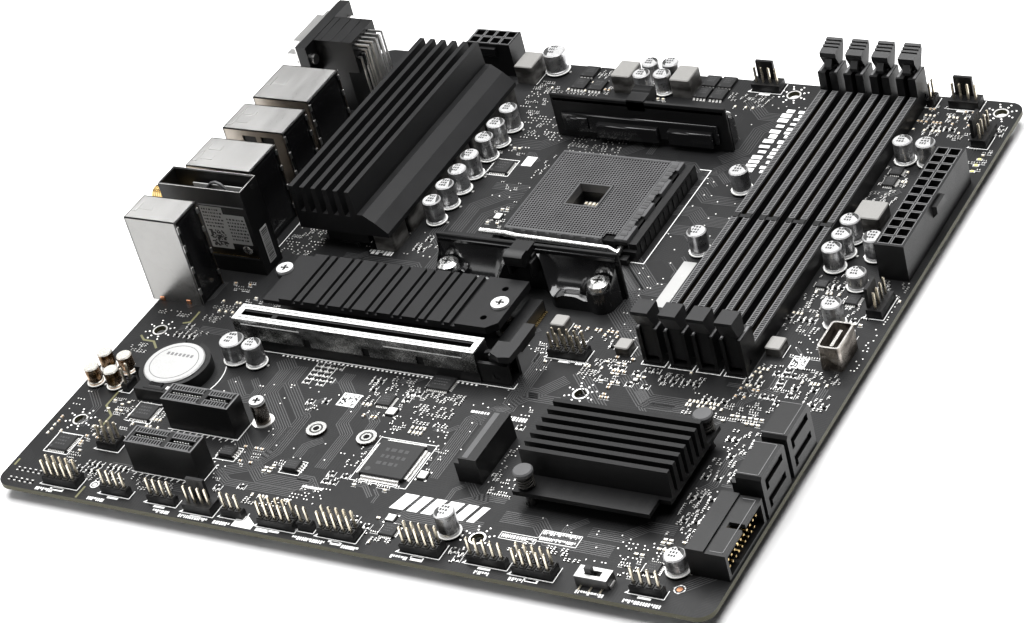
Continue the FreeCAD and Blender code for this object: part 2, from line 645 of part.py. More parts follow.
def push_pin_springs():
    springs = []
    for at in PUSH_PINS.values():
        low = CHIPSET_BASE_H[1] + 0.45
        height = PUSH_PIN_CAP_H[0] - 0.45 - low
        helix = Part.makeHelix(height / SPRING_TURNS, height, SPRING_R)
        coil = Part.Wire(helix.Edges).makePipeShell([spring_wire()], True, True)
        coil.translate(Vec(at[0], at[1], BOARD_T + low))
        springs.append(coil)
    return group(springs)


def vrm_heatsink():
    """Regulator heatsink: upright fins, then a lower bar sloping towards the processor."""
    half = VRM_FIN_T / 2
    left = VRM_FIN_X - half
    outline = [(left, VRM_UNDERSIDE)]
    for fin in range(VRM_FINS):
        x = VRM_FIN_X + VRM_FIN_PITCH * fin
        if fin:
            outline.append((x - half - 0.3, VRM_FIN_ROOT))
        outline.append((x - half, VRM_FIN_TOP))
        outline.append((x + half, VRM_FIN_TOP))
        if fin < VRM_FINS - 1:
            outline.append((x + half + 0.3, VRM_FIN_ROOT))
    outline += [(60.6, 15.7), (62.8, 15.7), (66.7, 13.0), (70.8, 9.4), (70.8, VRM_UNDERSIDE)]
    body = across_y(outline, VRM_Y)
    boss = block(VRM_BOSS_X, (VRM_Y[0] + 3, VRM_Y[1] - 3), (2.1, VRM_UNDERSIDE + 0.2))
    return without(join([body, boss]), [post(at, 1.4, (0, 8.0)) for at in VRM_SCREWS])


def thermal_pads():
    """Soft pads under the regulator, chipset and drive heatsinks."""
    vrm = block((45.4, 58.6), (141.0, 207.0), (MOSFET[2], 2.1))
    drive = block((54.0, 120.0), (92.6, 112.2), (HEATSINK_H[0] - 1.0, HEATSINK_H[0]))
    chipset = around(CHIPSET_CENTRE, (5.0, 5.0), (2.0, CHIPSET_BASE_H[0]))
    return group([vrm, drive, chipset])


def ic_packages():
    parts = [chamfered_top(block(x, y, (0, t)), 0.15) for x, y, t in CHIPS]
    half = (MOSFET[0] / 2, MOSFET[1] / 2)
    for x, y in TOP_MOSFETS:
        parts.append(around((x, y), half, (0, MOSFET[2])))
    for x, y in VRM_MOSFETS:
        parts.append(around((x, y), half, (0, MOSFET[2])))
    return group(parts)


def chokes():
    parts = [chamfered_top(rounded(block(x, y, (0, t)), 0.8), 0.3) for x, y, t in CHOKES]
    for y in VRM_CHOKE_YS:
        parts.append(rounded(block((62.0, 69.8), (y - 4.6, y + 4.6), (0, 7.2)), 0.8))
    return group(parts)


# ---------------------------------------------------------------- capacitors
def can(x, y, radius, height):
    """Aluminium can with a rolled groove near its foot."""
    foot = BOARD_T + 0.8
    top = BOARD_T + height
    outline = [(0, foot), (radius, foot), (radius, foot + 0.7), (radius - 0.35, foot + 1.0),
               (radius - 0.35, foot + 1.3), (radius, foot + 1.6), (radius, top - 0.35),
               (radius - 0.35, top), (0, top)]
    face = face_of([(r, 0, z) for r, z in outline])
    body = face.revolve(Vec(0, 0, 0), Vec(0, 0, 1), 360)
    body.translate(Vec(x, y, 0))
    return body


def capacitor_cans():
    return group([can(*each) for each in SOCKET_SIDE_CANS + MEMORY_CANS + OTHER_CANS])


def audio_capacitors():
    return group([can(*each) for each in AUDIO_CANS])


def capacitor_bases():
    """Insulating discs between the cans and the board."""
    every = SOCKET_SIDE_CANS + MEMORY_CANS + OTHER_CANS + AUDIO_CANS
    return group([post((x, y), radius + 0.35, (0, 0.8)) for x, y, radius, _ in every])


# ---------------------------------------------------------------- power and data headers
def cell_centres(first, columns, rows):
    return [(first[0] + CELL_PITCH * col, first[1] + CELL_PITCH * row)
            for col in range(columns) for row in range(rows)]


ATX_CELLS = cell_centres((236.8 - CELL_PITCH / 2, 174.1 - 5.5 * CELL_PITCH), 2, 12)
CPU_CELLS = cell_centres((51.9 - 1.5 * CELL_PITCH, 238.4 - CELL_PITCH / 2), 4, 2)
POWER_HEADER_H = 12.8


def power_headers():
    cavity = (1.6, POWER_HEADER_H + 1)
    atx = block((232.0, 241.6), (148.3, 199.9), (0, POWER_HEADER_H))
    atx_catch = across_y([(241.6, 7.4), (243.2, 9.2), (243.2, 11.6), (241.6, 11.6)], (170.6, 177.6))
    cpu = block((43.2, 60.6), (234.0, 242.8), (0, POWER_HEADER_H))
    cpu_catch = across_x([(234.0, 7.4), (232.6, 9.2), (232.6, 11.6), (234.0, 11.6)], (48.8, 55.0))
    half = CELL / 2
    atx = without(join([atx, atx_catch]), [around(at, (half, half), cavity) for at in ATX_CELLS])
    cpu = without(join([cpu, cpu_catch]), [around(at, (half, half), cavity) for at in CPU_CELLS])
    return group([atx, cpu])


def power_pins():
    return group([around(at, (0.53, 0.53), (1.6, 9.4)) for at in ATX_CELLS + CPU_CELLS])


SATA_YS = (48.3, 65.8)
SATA_HALF = 7.7
SATA_LOWS = (3.9, 10.2)
SATA_TOP = 14.5


def sata_opening(y, low):
    """L-shaped plug opening that faces +x."""
    return block((237.4, 244.0), (y - 5.6, y + 5.6), (low, low + 2.4)).fuse(
        block((237.4, 244.0), (y - 5.6, y - 4.0), (low - 1.7, low + 1.0)))


def sata_ports():
    parts = []
    for y in SATA_YS:
        span = (y - SATA_HALF, y + SATA_HALF)
        body = block((235.6, 243.4), span, (0, SATA_TOP))
        foot = block((234.2, 235.6), span, (0, 11.6))
        body = chamfered_corner(body.fuse(foot).removeSplitter(), y)
        parts.append(without(body, [sata_opening(y, low) for low in SATA_LOWS]))
    return group(parts)


def chamfered_corner(body, y):
    """Bevel the two long top corners of a drive port."""
    cuts = []
    for side in (-1, 1):
        edge = y + side * SATA_HALF
        cuts.append(across_x([(edge, SATA_TOP + 0.1), (edge - side * 0.9, SATA_TOP + 0.1),
                              (edge, SATA_TOP - 0.9)], (230.0, 246.0)))
    return without(body, cuts)


def sata_contacts():
    tongues = []
    for y in SATA_YS:
        for low in SATA_LOWS:
            tongues.append(block((237.4, 242.6), (y - 4.6, y + 4.8), (low + 0.6, low + 1.8)))
    return group(tongues)


def usb3_header():
    """Right-angle header for two front ports; the plug enters from +x."""
    rear = block((231.5, 237.0), (15.0, 39.0), (0, 9.6))
    front = block((237.0, 243.4), (15.0, 39.0), (0, 9.0))
    cavity = block((236.4, 245.0), (16.2, 37.8), (1.2, 7.8))
    notch = block((238.8, 245.0), (25.9, 28.1), (7.0, 10.0))
    return without(join([rear, front]), [cavity, notch])


def usb_c_header():
    """Upright metal receptacle for a front panel cable."""
    shell = rounded(block((231.6, 238.6), (104.0, 116.4), (0, 8.6)), 1.2)
    inside = rounded(block((232.2, 238.0), (104.6, 115.8), (1.4, 9.6)), 0.9)
    tongue = block((234.6, 235.6), (106.4, 114.0), (1.4, 7.4))
    return shell.cut(inside).fuse(tongue)


def pin_positions():
    places = []
    for first, columns, rows in PIN_GROUPS:
        for col in range(columns):
            for row in range(rows):
                places.append((first[0] + PIN_PITCH * col, first[1] + PIN_PITCH * row))
    for first, direction in FAN_HEADERS:
        for pin in range(FAN_PINS):
            run = PIN_PITCH * pin
            places.append((first[0] + (run if direction == "x" else 0),
                           first[1] + (run if direction == "y" else 0)))
    return places


def fan_header(first, direction):
    """Base strip with an upright polarising wall behind the pins."""
    reach = PIN_PITCH * (FAN_PINS - 1)
    if direction == "x":
        base = block((first[0] - 1.3, first[0] + reach + 1.3), (first[1] - 2.0, first[1] + 3.0), (0, 2.8))
        wall = block((first[0] - 0.2, first[0] + reach - 1.6), (first[1] + 1.9, first[1] + 3.0),
                     (2.8, 9.6))
    else:
        base = block((first[0] - 2.8, first[0] + 2.2), (first[1] - 1.3, first[1] + reach + 1.3), (0, 2.8))
        wall = block((first[0] - 2.8, first[0] - 1.7), (first[1] - 0.2, first[1] + reach - 1.6),
                     (2.8, 9.6))
    return join([base, wall])


def pin_bore(at):
    half = PIN / 2
    return around(at, (half, half), (-1, 4))


def header_bases():
    shapes = []
    half = PIN_PITCH / 2 - 0.05
    for first, columns, rows in PIN_GROUPS:
        last = (first[0] + PIN_PITCH * (columns - 1), first[1] + PIN_PITCH * (rows - 1))
        strip = block((first[0] - half, last[0] + half), (first[1] - half, last[1] + half), (0, HEADER_H))
        shapes.append(strip)
    shapes += [fan_header(first, direction) for first, direction in FAN_HEADERS]
    bores = Part.makeCompound([pin_bore(at) for at in pin_positions()])
    return group([shape.cut(bores) for shape in shapes])


def header_pins():
    half = PIN / 2
    return group([chamfered_top(around(at, (half, half), (0, HEADER_PIN_TOP)), 0.18)
                  for at in pin_positions()])


def usb3_pins():
    """Square pins that run towards +x inside the right-angle header."""
    pins = []
    for low, count in ((2.6, 9), (5.0, 10)):
        for pin in range(count):
            y = 18.0 + 2.0 * pin
            pins.append(block((236.4, 242.4), (y - 0.3, y + 0.3), (low, low + 0.6)))
    return pins


# ---------------------------------------------------------------- battery
def battery_holder():
    cx, cy = CELL_CENTRE
    cup = post(CELL_CENTRE, 11.7, (0, 4.4))
    nose = block((cx - 7.0, cx + 7.0), (cy - 13.6, cy - 6.0), (0, 4.4))
    lobe = block((cx - 13.4, cx - 6.0), (cy - 4.0, cy + 4.0), (0, 4.4))
    bowl = post(CELL_CENTRE, COIN_R + 0.15, (1.7, 6))
    finger = block((cx - 3.0, cx + 3.0), (cy + 9.0, cy + 13.0), (1.7, 6))
    return without(join([cup, nose, lobe]), [bowl, finger])


def coin_cell():
    """Coin cell with a stepped rim."""
    low, top = COIN_H
    body = post(CELL_CENTRE, COIN_R, (low + 0.7, top))
    lid = post(CELL_CENTRE, COIN_R - 1.3, (low, low + 0.7))
    return join([chamfered_top_round(body), lid])


# ---------------------------------------------------------------- small switch
def led_switch_body():
    body = block((202.0, 212.0), (3.6, 8.2), (0, 3.4))
    slot = block((204.6, 209.4), (4.9, 6.9), (1.6, 4.4))
    return body.cut(slot)


def led_switch_slider():
    foot = block((204.7, 207.0), (5.0, 6.8), (1.7, 3.3))
    knob = block((204.8, 206.8), (5.1, 6.7), (3.3, 5.4))
    return join([foot, knob])


# ---------------------------------------------------------------- rear ports
REAR_X = -2.2
# port blocks: y range, rear-to-front length, height, openings as (y centre, h centre, width, height)
LAN_BLOCK = ((128.0, 144.3), 25.7, 29.0, [(136.15, 21.8, 11.9, 8.6), (136.15, 5.6, 13.1, 5.7),
                                          (136.15, 12.9, 13.1, 5.7)])
USB_BLOCK = ((150.8, 165.3), 24.5, 28.5, [(158.05, 5.2, 13.1, 5.7), (158.05, 12.3, 13.1, 5.7),
                                          (158.05, 21.8, 12.6, 8.4)])
DISPLAY_BLOCK = ((170.0, 190.0), 22.5, 28.0, [(180.0, 7.4, 15.2, 5.6), (180.0, 20.4, 16.4, 5.6)])
AUDIO_BLOCK = ((93.1, 105.3), 20.4, 33.0, [(99.2, 5.9, 7.9, 7.9), (99.2, 16.2, 7.9, 7.9),
                                           (99.2, 26.5, 7.9, 7.9)])
CAVITY_DEPTH = 13.0
TALL_OPENING = 8.0


def port_void(opening, x):
    y, h, width, height = opening
    return block(x, (y - width / 2, y + width / 2), (h - height / 2, h + height / 2))


def port_shell(port):
    """Folded metal shell, open underneath, with plug openings in its rear face."""
    y, length, height, openings = port
    x = (REAR_X, REAR_X + length)
    outer = rounded(block(x, y, (0, height)), 0.6)
    inner = block((x[0] + WALL, x[1] - WALL), (y[0] + WALL, y[1] - WALL), (-1, height - WALL))
    return without(outer, [inner] + [port_void(o, (x[0] - 1, x[0] + 1)) for o in openings])


def port_insert(port):
    """Plastic body inside a shell, with a contact tongue in each opening."""
    y, length, height, openings = port
    x = (REAR_X + WALL, REAR_X + length - WALL)
    body = block(x, (y[0] + WALL, y[1] - WALL), (0, height - WALL))
    body = without(body, [port_void(o, (x[0] - 1, x[0] + CAVITY_DEPTH)) for o in openings])
    return join([body] + [contact_tongue(opening, x[0]) for opening in openings])


def contact_tongue(opening, x):
    """Contact carrier: central in a flat opening, near the top of a tall one."""
    y, h, width, height = opening
    half = width / 2 - 1.6
    level = h if height < TALL_OPENING else h + height / 2 - 1.2
    return block((x + 0.8, x + CAVITY_DEPTH + 0.5), (y - half, y + half), (level - 0.9, level + 0.9))


def audio_insert():
    y, length, height, openings = AUDIO_BLOCK
    x = (REAR_X + WALL, REAR_X + length - WALL)
    body = block(x, (y[0] + WALL, y[1] - WALL), (0, height - WALL))
    bores = []
    for jack_y, jack_h, _, _ in openings:
        seat = Part.makeCylinder(3.9, 1.4, Vec(x[0] - 0.4, jack_y, BOARD_T + jack_h), Vec(1, 0, 0))
        bores += [seat, rod_x((x[0] - 1, x[0] + 14), jack_y, jack_h, 1.8)]
    return without(body, bores)


def audio_rings():
    """Coloured sleeve round each audio socket."""
    rings = []
    for jack_y, jack_h, _, _ in AUDIO_BLOCK[3]:
        sleeve = rod_x((REAR_X - 1.4, REAR_X + WALL + 1.0), jack_y, jack_h, 3.9)
        rings.append(sleeve.cut(rod_x((REAR_X - 3, REAR_X + 4), jack_y, jack_h, 1.8)))
    return rings


def audio_shell():
    y, length, height, openings = AUDIO_BLOCK
    x = (REAR_X, REAR_X + length)
    outer = rounded(block(x, y, (0, height)), 0.6)
    inner = block((x[0] + WALL, x[1] - WALL), (y[0] + WALL, y[1] - WALL), (-1, height - WALL))
    holes = [rod_x((x[0] - 1, x[0] + 1), jack_y, jack_h, 3.95) for jack_y, jack_h, _, _ in openings]
    return without(outer, [inner] + holes)


def rear_port_shells():
    return group([audio_shell()] + [port_shell(p) for p in (LAN_BLOCK, USB_BLOCK, DISPLAY_BLOCK)])


def rear_port_inserts():
    return group([audio_insert()] + [port_insert(p) for p in (LAN_BLOCK, USB_BLOCK, DISPLAY_BLOCK)])


WIFI_X = (-1.4, 31.4)
WIFI_Y = (112.0, 121.7)
WIFI_H = 33.0
ANTENNA_Y = 117.6
ANTENNA_HS = (9.0, 24.0)


def wifi_bracket():
    """Frame around the upright radio card, open at the top and on the card's side."""
    cage = block(WIFI_X, WIFI_Y, (0, WIFI_H))
    hollow = block((WIFI_X[0] + 0.8, WIFI_X[1] - 0.8), (WIFI_Y[0] + 0.8, WIFI_Y[1] - 0.8),
                   (-1, WIFI_H + 1))
    front = block((WIFI_X[0] + 5.0, WIFI_X[1] - 0.8), (WIFI_Y[0] - 1, WIFI_Y[0] + 1.0), (6.0, 27.0))
    bores = [rod_x((WIFI_X[0] - 1, WIFI_X[0] + 2), ANTENNA_Y, h, 3.3) for h in ANTENNA_HS]
    return without(cage, [hollow, front] + bores)


def wifi_module():
    """Radio card standing on its edge in its connector."""
    card = block((9.0, 30.2), (114.0, 114.8), (3.6, 26.6))
    lid = block((11.4, 29.6), (113.0, 114.0), (9.6, 25.6))
    socket = block((8.4, 30.2), (113.2, 116.4), (0, 3.6))
    return join([card, lid, socket])


def antenna_jacks():
    """Gold antenna sockets through the rear of the cage."""
    jacks = []
    for h in ANTENNA_HS:
        barrel = rod_x((WIFI_X[0] - 7.0, WIFI_X[0] + 6.0), ANTENNA_Y, h, 3.1)
        flange = rod_x((WIFI_X[0] - 1.2, WIFI_X[0]), ANTENNA_Y, h, 4.4)
        bore = rod_x((WIFI_X[0] - 8.0, WIFI_X[0] - 3.0), ANTENNA_Y, h, 2.4)
        centre = rod_x((WIFI_X[0] - 6.0, WIFI_X[0] - 2.9), ANTENNA_Y, h, 0.5)
        jacks.append(join([barrel, flange]).cut(bore).fuse(centre))
    return group(jacks)


VGA_Y = (198.4, 229.4)
VGA_H = 23.3
VGA_BODY_X = 17.8


def d_outline(half_w, half_h, x):
    """D-shaped outline about the video port's axis, as a face at one x."""
    y = (VGA_Y[0] + VGA_Y[1]) / 2
    skew = half_h * math.tan(math.radians(10))
    corners = [(y - half_w, half_h), (y + half_w, half_h), (y + half_w - 2 * skew, -half_h),
               (y - half_w + 2 * skew, -half_h)]
    return face_of([(x, py, BOARD_T + VGA_H + dh) for py, dh in corners])


def vga_housing():
    """Raised video port: flange, body over a stand, and rows of long contact legs."""
    flange = block((-1.8, 2.2), VGA_Y, (17.0, 29.6))
    body = block((2.2, VGA_BODY_X), (204.2, 219.2), (17.0, 29.4))
    stand = block((2.2, 12.0), (205.5, 218.0), (0, 17.0))
    locks = [rod_x((-3.0, 3.4), y, VGA_H, 1.9) for y in vga_lock_ys()]
    return without(join([flange, body, stand]), locks)


def vga_lock_ys():
    mid = (VGA_Y[0] + VGA_Y[1]) / 2
    return (mid - 12.5, mid + 12.5)


def vga_shell():
    """Metal D-shaped collar, its two screw locks and the contact legs behind the port."""
    plate = block((-2.6, -1.8), (VGA_Y[0] + 0.4, VGA_Y[1] - 0.4), (17.4, 29.2))
    collar = d_outline(8.4, 4.2, -7.8).extrude(Vec(5.2, 0, 0))
    inside = d_outline(7.9, 3.7, -9.0).extrude(Vec(5.6, 0, 0))
    face = join([plate, collar]).cut(inside)
    face = without(face, [rod_x((-3.0, -1.0), y, VGA_H, 1.9) for y in vga_lock_ys()])
    parts = [face]
    for y in vga_lock_ys():
        nut = upright_hex(y, 2.9, (-7.4, -2.6))
        barrel = rod_x((-2.6, 3.2), y, VGA_H, 1.85)
        bore = rod_x((-8.0, -0.5), y, VGA_H, 1.4)
        parts.append(join([nut, barrel]).cut(bore))
    for row, x in enumerate((19.0, 21.2, 23.4)):
        for pin in range(5):
            y = 206.0 + 2.29 * pin + 1.1 * (row % 2)
            parts.append(bent_leg(x, y, 22.4 + 2.6 * row))
    return group(parts)


def upright_hex(y, across, x):
    corners = []
    for side in range(6):
        angle = math.radians(60 * side)
        corners.append((x[0], y + across * math.cos(angle), BOARD_T + VGA_H + across * math.sin(angle)))
    return face_of(corners).extrude(Vec(x[1] - x[0], 0, 0))


def bent_leg(x, y, top):
    """Flat contact leg: out of the port body, then straight down to the board."""
    out = block((VGA_BODY_X, x + 0.3), (y - 0.3, y + 0.3), (top - 0.3, top + 0.3))
    down = block((x - 0.3, x + 0.3), (y - 0.3, y + 0.3), (0, top + 0.3))
    return join([out, down])


# ---------------------------------------------------------------- write every sub-part
def save(node, shape):
    moved = shape.copy()
    moved.translate(Vec(-DATUM[0], -DATUM[1], 0))
    moved.exportStep("parts/" + node + ".step")


NODES = {
    "pcb": pcb(),
    "socket_backplate": socket_backplate(),
    "socket_base": socket_base(),
    "socket_cover": socket_cover(),
    "socket_lever": socket_lever(),
    "socket_capacitors": socket_capacitors(),
    "retention_brackets": retention_brackets(),
    "bracket_screws": bracket_screws(),
    "dimm_slots": dimm_slots(),
    "dimm_contacts": dimm_contacts(),
    "pcie_x16_slot": pcie_x16_slot(),
    "pcie_x16_shield": pcie_x16_shield(),
    "pcie_x16_latch": pcie_x16_latch(),
    "pcie_x1_slots": pcie_x1_slots(),
    "pcie_contacts": pcie_contacts(),
    "m2_heatsink": m2_heatsink(),
    "m2_standoffs": m2_standoffs(),
    "m2_connectors": m2_connectors(),
    "heatsink_screws": heatsink_screws(),
    "chipset_heatsink": chipset_heatsink(),
    "chipset_package": chipset_package(),
    "push_pin_springs": push_pin_springs(),
    "vrm_heatsink": vrm_heatsink(),
    "thermal_pads": thermal_pads(),
    "ic_packages": ic_packages(),
    "chokes": chokes(),
    "capacitor_cans": capacitor_cans(),
    "capacitor_bases": capacitor_bases(),
    "audio_capacitors": audio_capacitors(),
    "power_headers": power_headers(),
    "power_pins": power_pins(),
    "sata_ports": sata_ports(),
    "sata_contacts": sata_contacts(),
    "usb3_header": usb3_header(),
    "usb3_pins": group(usb3_pins()),
    "usb_c_header": usb_c_header(),
    "header_bases": header_bases(),
    "header_pins": header_pins(),
    "battery_holder": battery_holder(),
    "coin_cell": coin_cell(),
    "led_switch_body": led_switch_body(),
    "led_switch_slider": led_switch_slider(),
    "rear_port_shells": rear_port_shells(),
    "rear_port_inserts": rear_port_inserts(),
    "audio_jack_rings": group(audio_rings()),
    "wifi_bracket": wifi_bracket(),
    "wifi_module": wifi_module(),
    "antenna_jacks": antenna_jacks(),
    "vga_housing": vga_housing(),
    "vga_shell": vga_shell(),
}
for number, centre in enumerate(dimm_centres(), 1):
    NODES["dimm_latch_%d_near" % number] = latch_near(centre, False)
    NODES["dimm_latch_%d_far" % number] = latch_far(centre)
for side, place in PUSH_PINS.items():
    NODES["push_pin_" + side] = push_pin(place)
for name, solid in NODES.items():
    save(name, solid)
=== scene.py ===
"""Looks of the main board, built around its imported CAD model.

Lengths inside the builders are millimetres: x from the board's rear-port edge, y from its
pin-header edge and h above its component face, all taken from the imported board's own box.
"""
import bpy
import math
import random
from itertools import product
from mathutils import Matrix, Vector


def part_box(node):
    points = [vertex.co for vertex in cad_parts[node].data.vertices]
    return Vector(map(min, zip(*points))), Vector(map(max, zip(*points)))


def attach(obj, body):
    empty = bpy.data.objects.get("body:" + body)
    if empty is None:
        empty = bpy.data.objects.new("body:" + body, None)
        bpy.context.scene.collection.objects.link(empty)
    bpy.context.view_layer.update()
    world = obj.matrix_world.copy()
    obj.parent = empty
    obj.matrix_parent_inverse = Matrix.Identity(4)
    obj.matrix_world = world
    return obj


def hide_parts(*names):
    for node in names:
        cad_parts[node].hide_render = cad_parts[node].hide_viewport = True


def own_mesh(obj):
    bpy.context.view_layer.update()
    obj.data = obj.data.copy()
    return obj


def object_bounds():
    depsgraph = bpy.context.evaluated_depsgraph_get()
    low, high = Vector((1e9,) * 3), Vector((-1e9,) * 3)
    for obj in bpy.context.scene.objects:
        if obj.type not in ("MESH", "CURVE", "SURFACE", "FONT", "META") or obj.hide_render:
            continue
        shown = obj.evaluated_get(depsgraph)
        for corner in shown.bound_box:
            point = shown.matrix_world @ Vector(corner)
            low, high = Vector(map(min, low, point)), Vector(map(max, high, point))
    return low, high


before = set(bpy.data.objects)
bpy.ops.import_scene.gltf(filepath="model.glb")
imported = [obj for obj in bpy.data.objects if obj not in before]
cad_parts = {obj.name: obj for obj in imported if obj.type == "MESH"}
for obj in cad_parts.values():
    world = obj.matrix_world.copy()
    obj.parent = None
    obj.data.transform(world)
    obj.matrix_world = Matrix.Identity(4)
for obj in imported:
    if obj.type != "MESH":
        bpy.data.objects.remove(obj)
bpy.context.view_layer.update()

MM = 0.001
BOARD_LOW, BOARD_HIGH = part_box("pcb")
BOARD = (BOARD_HIGH.x - BOARD_LOW.x) / MM
BOARD_T = (BOARD_HIGH.z - BOARD_LOW.z) / MM
UNDER = -BOARD_T


def at(x, y, h=0.0):
    """Frame position, in metres, of a point given in board millimetres."""
    return Vector((BOARD_LOW.x + x * MM, BOARD_LOW.y + y * MM, BOARD_HIGH.z + h * MM))


def in_board_mm(low, high):
    """A box in the frame's metres as (x, y, h) pairs in board millimetres."""
    origin = (BOARD_LOW.x, BOARD_LOW.y, BOARD_HIGH.z)
    return tuple(((low[k] - origin[k]) / MM, (high[k] - origin[k]) / MM) for k in range(3))


def span(node):
    """A CAD node's box as (x, y, h) pairs in board millimetres."""
    return in_board_mm(*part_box(node))


def half_way(pair):
    return (pair[0] + pair[1]) / 2


def middle(node):
    """Centre of a CAD node's footprint."""
    return tuple(half_way(pair) for pair in span(node)[:2])


def polar(centre, radius, angle):
    return (centre[0] + radius * math.cos(angle), centre[1] + radius * math.sin(angle))


def lay(axis, along, across):
    """The x and y extents of a footprint that runs along an axis, "x" or "y"."""
    return (along, across) if axis == "x" else (across, along)


# ---------------------------------------------------------------- materials
class Nodes:
    """Small helper that adds and links shader nodes."""

    def __init__(self, name):
        self.material = bpy.data.materials.new(name)
        self.material.use_nodes = True
        self.tree = self.material.node_tree
        self.surface = self.tree.nodes["Principled BSDF"]

    def add(self, kind, inputs=None, **settings):
        node = self.tree.nodes.new("ShaderNode" + kind)
        for key, value in settings.items():
            setattr(node, key, value)
        for key, value in (inputs or {}).items():
            self.feed(node.inputs[key], value)
        return node

    def feed(self, socket, value):
        if isinstance(value, bpy.types.NodeSocket):
            self.tree.links.new(value, socket)
        else:
            socket.default_value = value

    def math(self, operation, a, b=0.0):
        node = self.add("Math", operation=operation)
        for socket, value in zip(node.inputs, (a, b, 0.0)):
            self.feed(socket, value)
        return node.outputs[0]

    def mix(self, share, a, b):
        node = self.add("Mix", data_type="RGBA")
        self.feed(node.inputs[0], share)
        self.feed(node.inputs[6], a)
        self.feed(node.inputs[7], b)
        return node.outputs[2]

    def remap(self, value, low, high, to_low, to_high):
        node = self.add("MapRange", {"Value": value, "From Min": low, "From Max": high,
                                     "To Min": to_low, "To Max": to_high})
        return node.outputs[0]

    def noise(self, where, scale, detail=3.0):
        node = self.add("TexNoise", {"Vector": where, "Scale": scale, "Detail": detail})
        return node.outputs["Fac"]

    def relief(self, height, strength, distance=0.0001):
        """Bumps the surface by a height field and closes the material."""
        lift = self.add("Bump", {"Height": height, "Strength": strength, "Distance": distance})
        self.feed(self.surface.inputs["Normal"], lift.outputs[0])
        return self.material

    def place(self, stretch=(1, 1, 1)):
        coordinates = self.add("TexCoord").outputs["Object"]
        return self.add("Mapping", {"Vector": coordinates, "Scale": stretch}).outputs[0]


def shade(colour, share):
    return tuple(min(1.0, c * share) for c in colour[:3]) + (1.0,)


def finish(name, colour, rough, metal=0.0, grain=1800.0, bump=0.12, spread=0.16,
           stretch=(1, 1, 1), mottle=120.0, coat=0.0, specular=0.5):
    """Surface with broad colour drift, fine grain in its gloss and a fine relief."""
    n = Nodes(name)
    where = n.place(stretch)
    drift = n.noise(where, mottle, 4.0)
    fine = n.noise(where, grain, 3.0)
    specks = n.noise(n.place(), grain * 2.7, 1.0)
    tone = n.math("ADD", n.math("MULTIPLY", drift, 0.7), n.math("MULTIPLY", fine, 0.3))
    tone = n.remap(tone, 0.3, 0.7, 0.0, 1.0)
    n.feed(n.surface.inputs["Base Color"],
           n.mix(tone, shade(colour, 1 - spread), shade(colour, 1 + spread)))
    gloss = n.math("ADD", n.math("MULTIPLY", fine, 0.6), n.math("MULTIPLY", drift, 0.4))
    n.feed(n.surface.inputs["Roughness"], n.remap(gloss, 0.3, 0.7, rough * 0.82, min(1, rough * 1.2)))
    n.surface.inputs["Metallic"].default_value = metal
    n.surface.inputs["Specular IOR Level"].default_value = specular
    n.surface.inputs["Coat Weight"].default_value = coat
    n.surface.inputs["Coat Roughness"].default_value = 0.12
    relief = n.math("ADD", n.math("MULTIPLY", fine, 0.7), n.math("MULTIPLY", specks, 0.3))
    return n.relief(relief, bump)


def board_finish():
    """Black solder mask over faint copper runs on both faces, olive laminate on the cut edge."""
    n = Nodes("board_laminate")
    where = n.place()
    up = n.add("SeparateXYZ", {"Vector": n.add("NewGeometry").outputs["Normal"]}).outputs["Z"]
    masked = n.math("GREATER_THAN", n.math("ABSOLUTE", up), 0.5)
    weave = []
    for turn in (0.0, math.pi / 4, math.pi / 2):
        turned = n.add("Mapping", {"Vector": where, "Rotation": (0, 0, turn)}).outputs[0]
        wave = n.add("TexWave", {"Vector": turned, "Scale": 330.0, "Distortion": 0.0})
        weave.append(n.math("GREATER_THAN", wave.outputs["Fac"], 0.62))
    cells = n.add("TexVoronoi", {"Vector": where, "Scale": 90.0, "Randomness": 1.0})
    pick = n.add("SeparateColor", {"Color": cells.outputs["Color"]})
    first = n.math("MULTIPLY", weave[0], n.math("LESS_THAN", pick.outputs[0], 0.3))
    second = n.math("MULTIPLY", weave[1], n.math("GREATER_THAN", pick.outputs[0], 0.72))
    third = n.math("MULTIPLY", weave[2], n.math("LESS_THAN", pick.outputs[1], 0.26))
    runs = n.math("MINIMUM", n.math("ADD", first, n.math("ADD", second, third)), 1.0)
    fibre = n.noise(n.place((1, 1, 14)), 900.0, 3.0)
    drift = n.noise(where, 28.0, 4.0)
    mask_tone = n.mix(n.math("MULTIPLY", runs, 0.6), (0.0088, 0.0089, 0.0093, 1),
                      (0.0165, 0.0167, 0.0172, 1))
    mask_tone = n.mix(n.math("MULTIPLY", drift, 0.35), mask_tone, (0.0145, 0.0145, 0.015, 1))
    edge_tone = n.mix(fibre, (0.035, 0.033, 0.02, 1), (0.10, 0.095, 0.055, 1))
    n.feed(n.surface.inputs["Base Color"], n.mix(masked, edge_tone, mask_tone))
    n.feed(n.surface.inputs["Roughness"],
           n.math("ADD", 0.36, n.math("MULTIPLY", n.noise(where, 500.0, 3.0), 0.16)))
    n.surface.inputs["Specular IOR Level"].default_value = 0.2
    relief = n.math("ADD", n.math("MULTIPLY", runs, 0.6), n.math("MULTIPLY", fibre, 0.25))
    return n.relief(relief, 0.35, 0.00004)


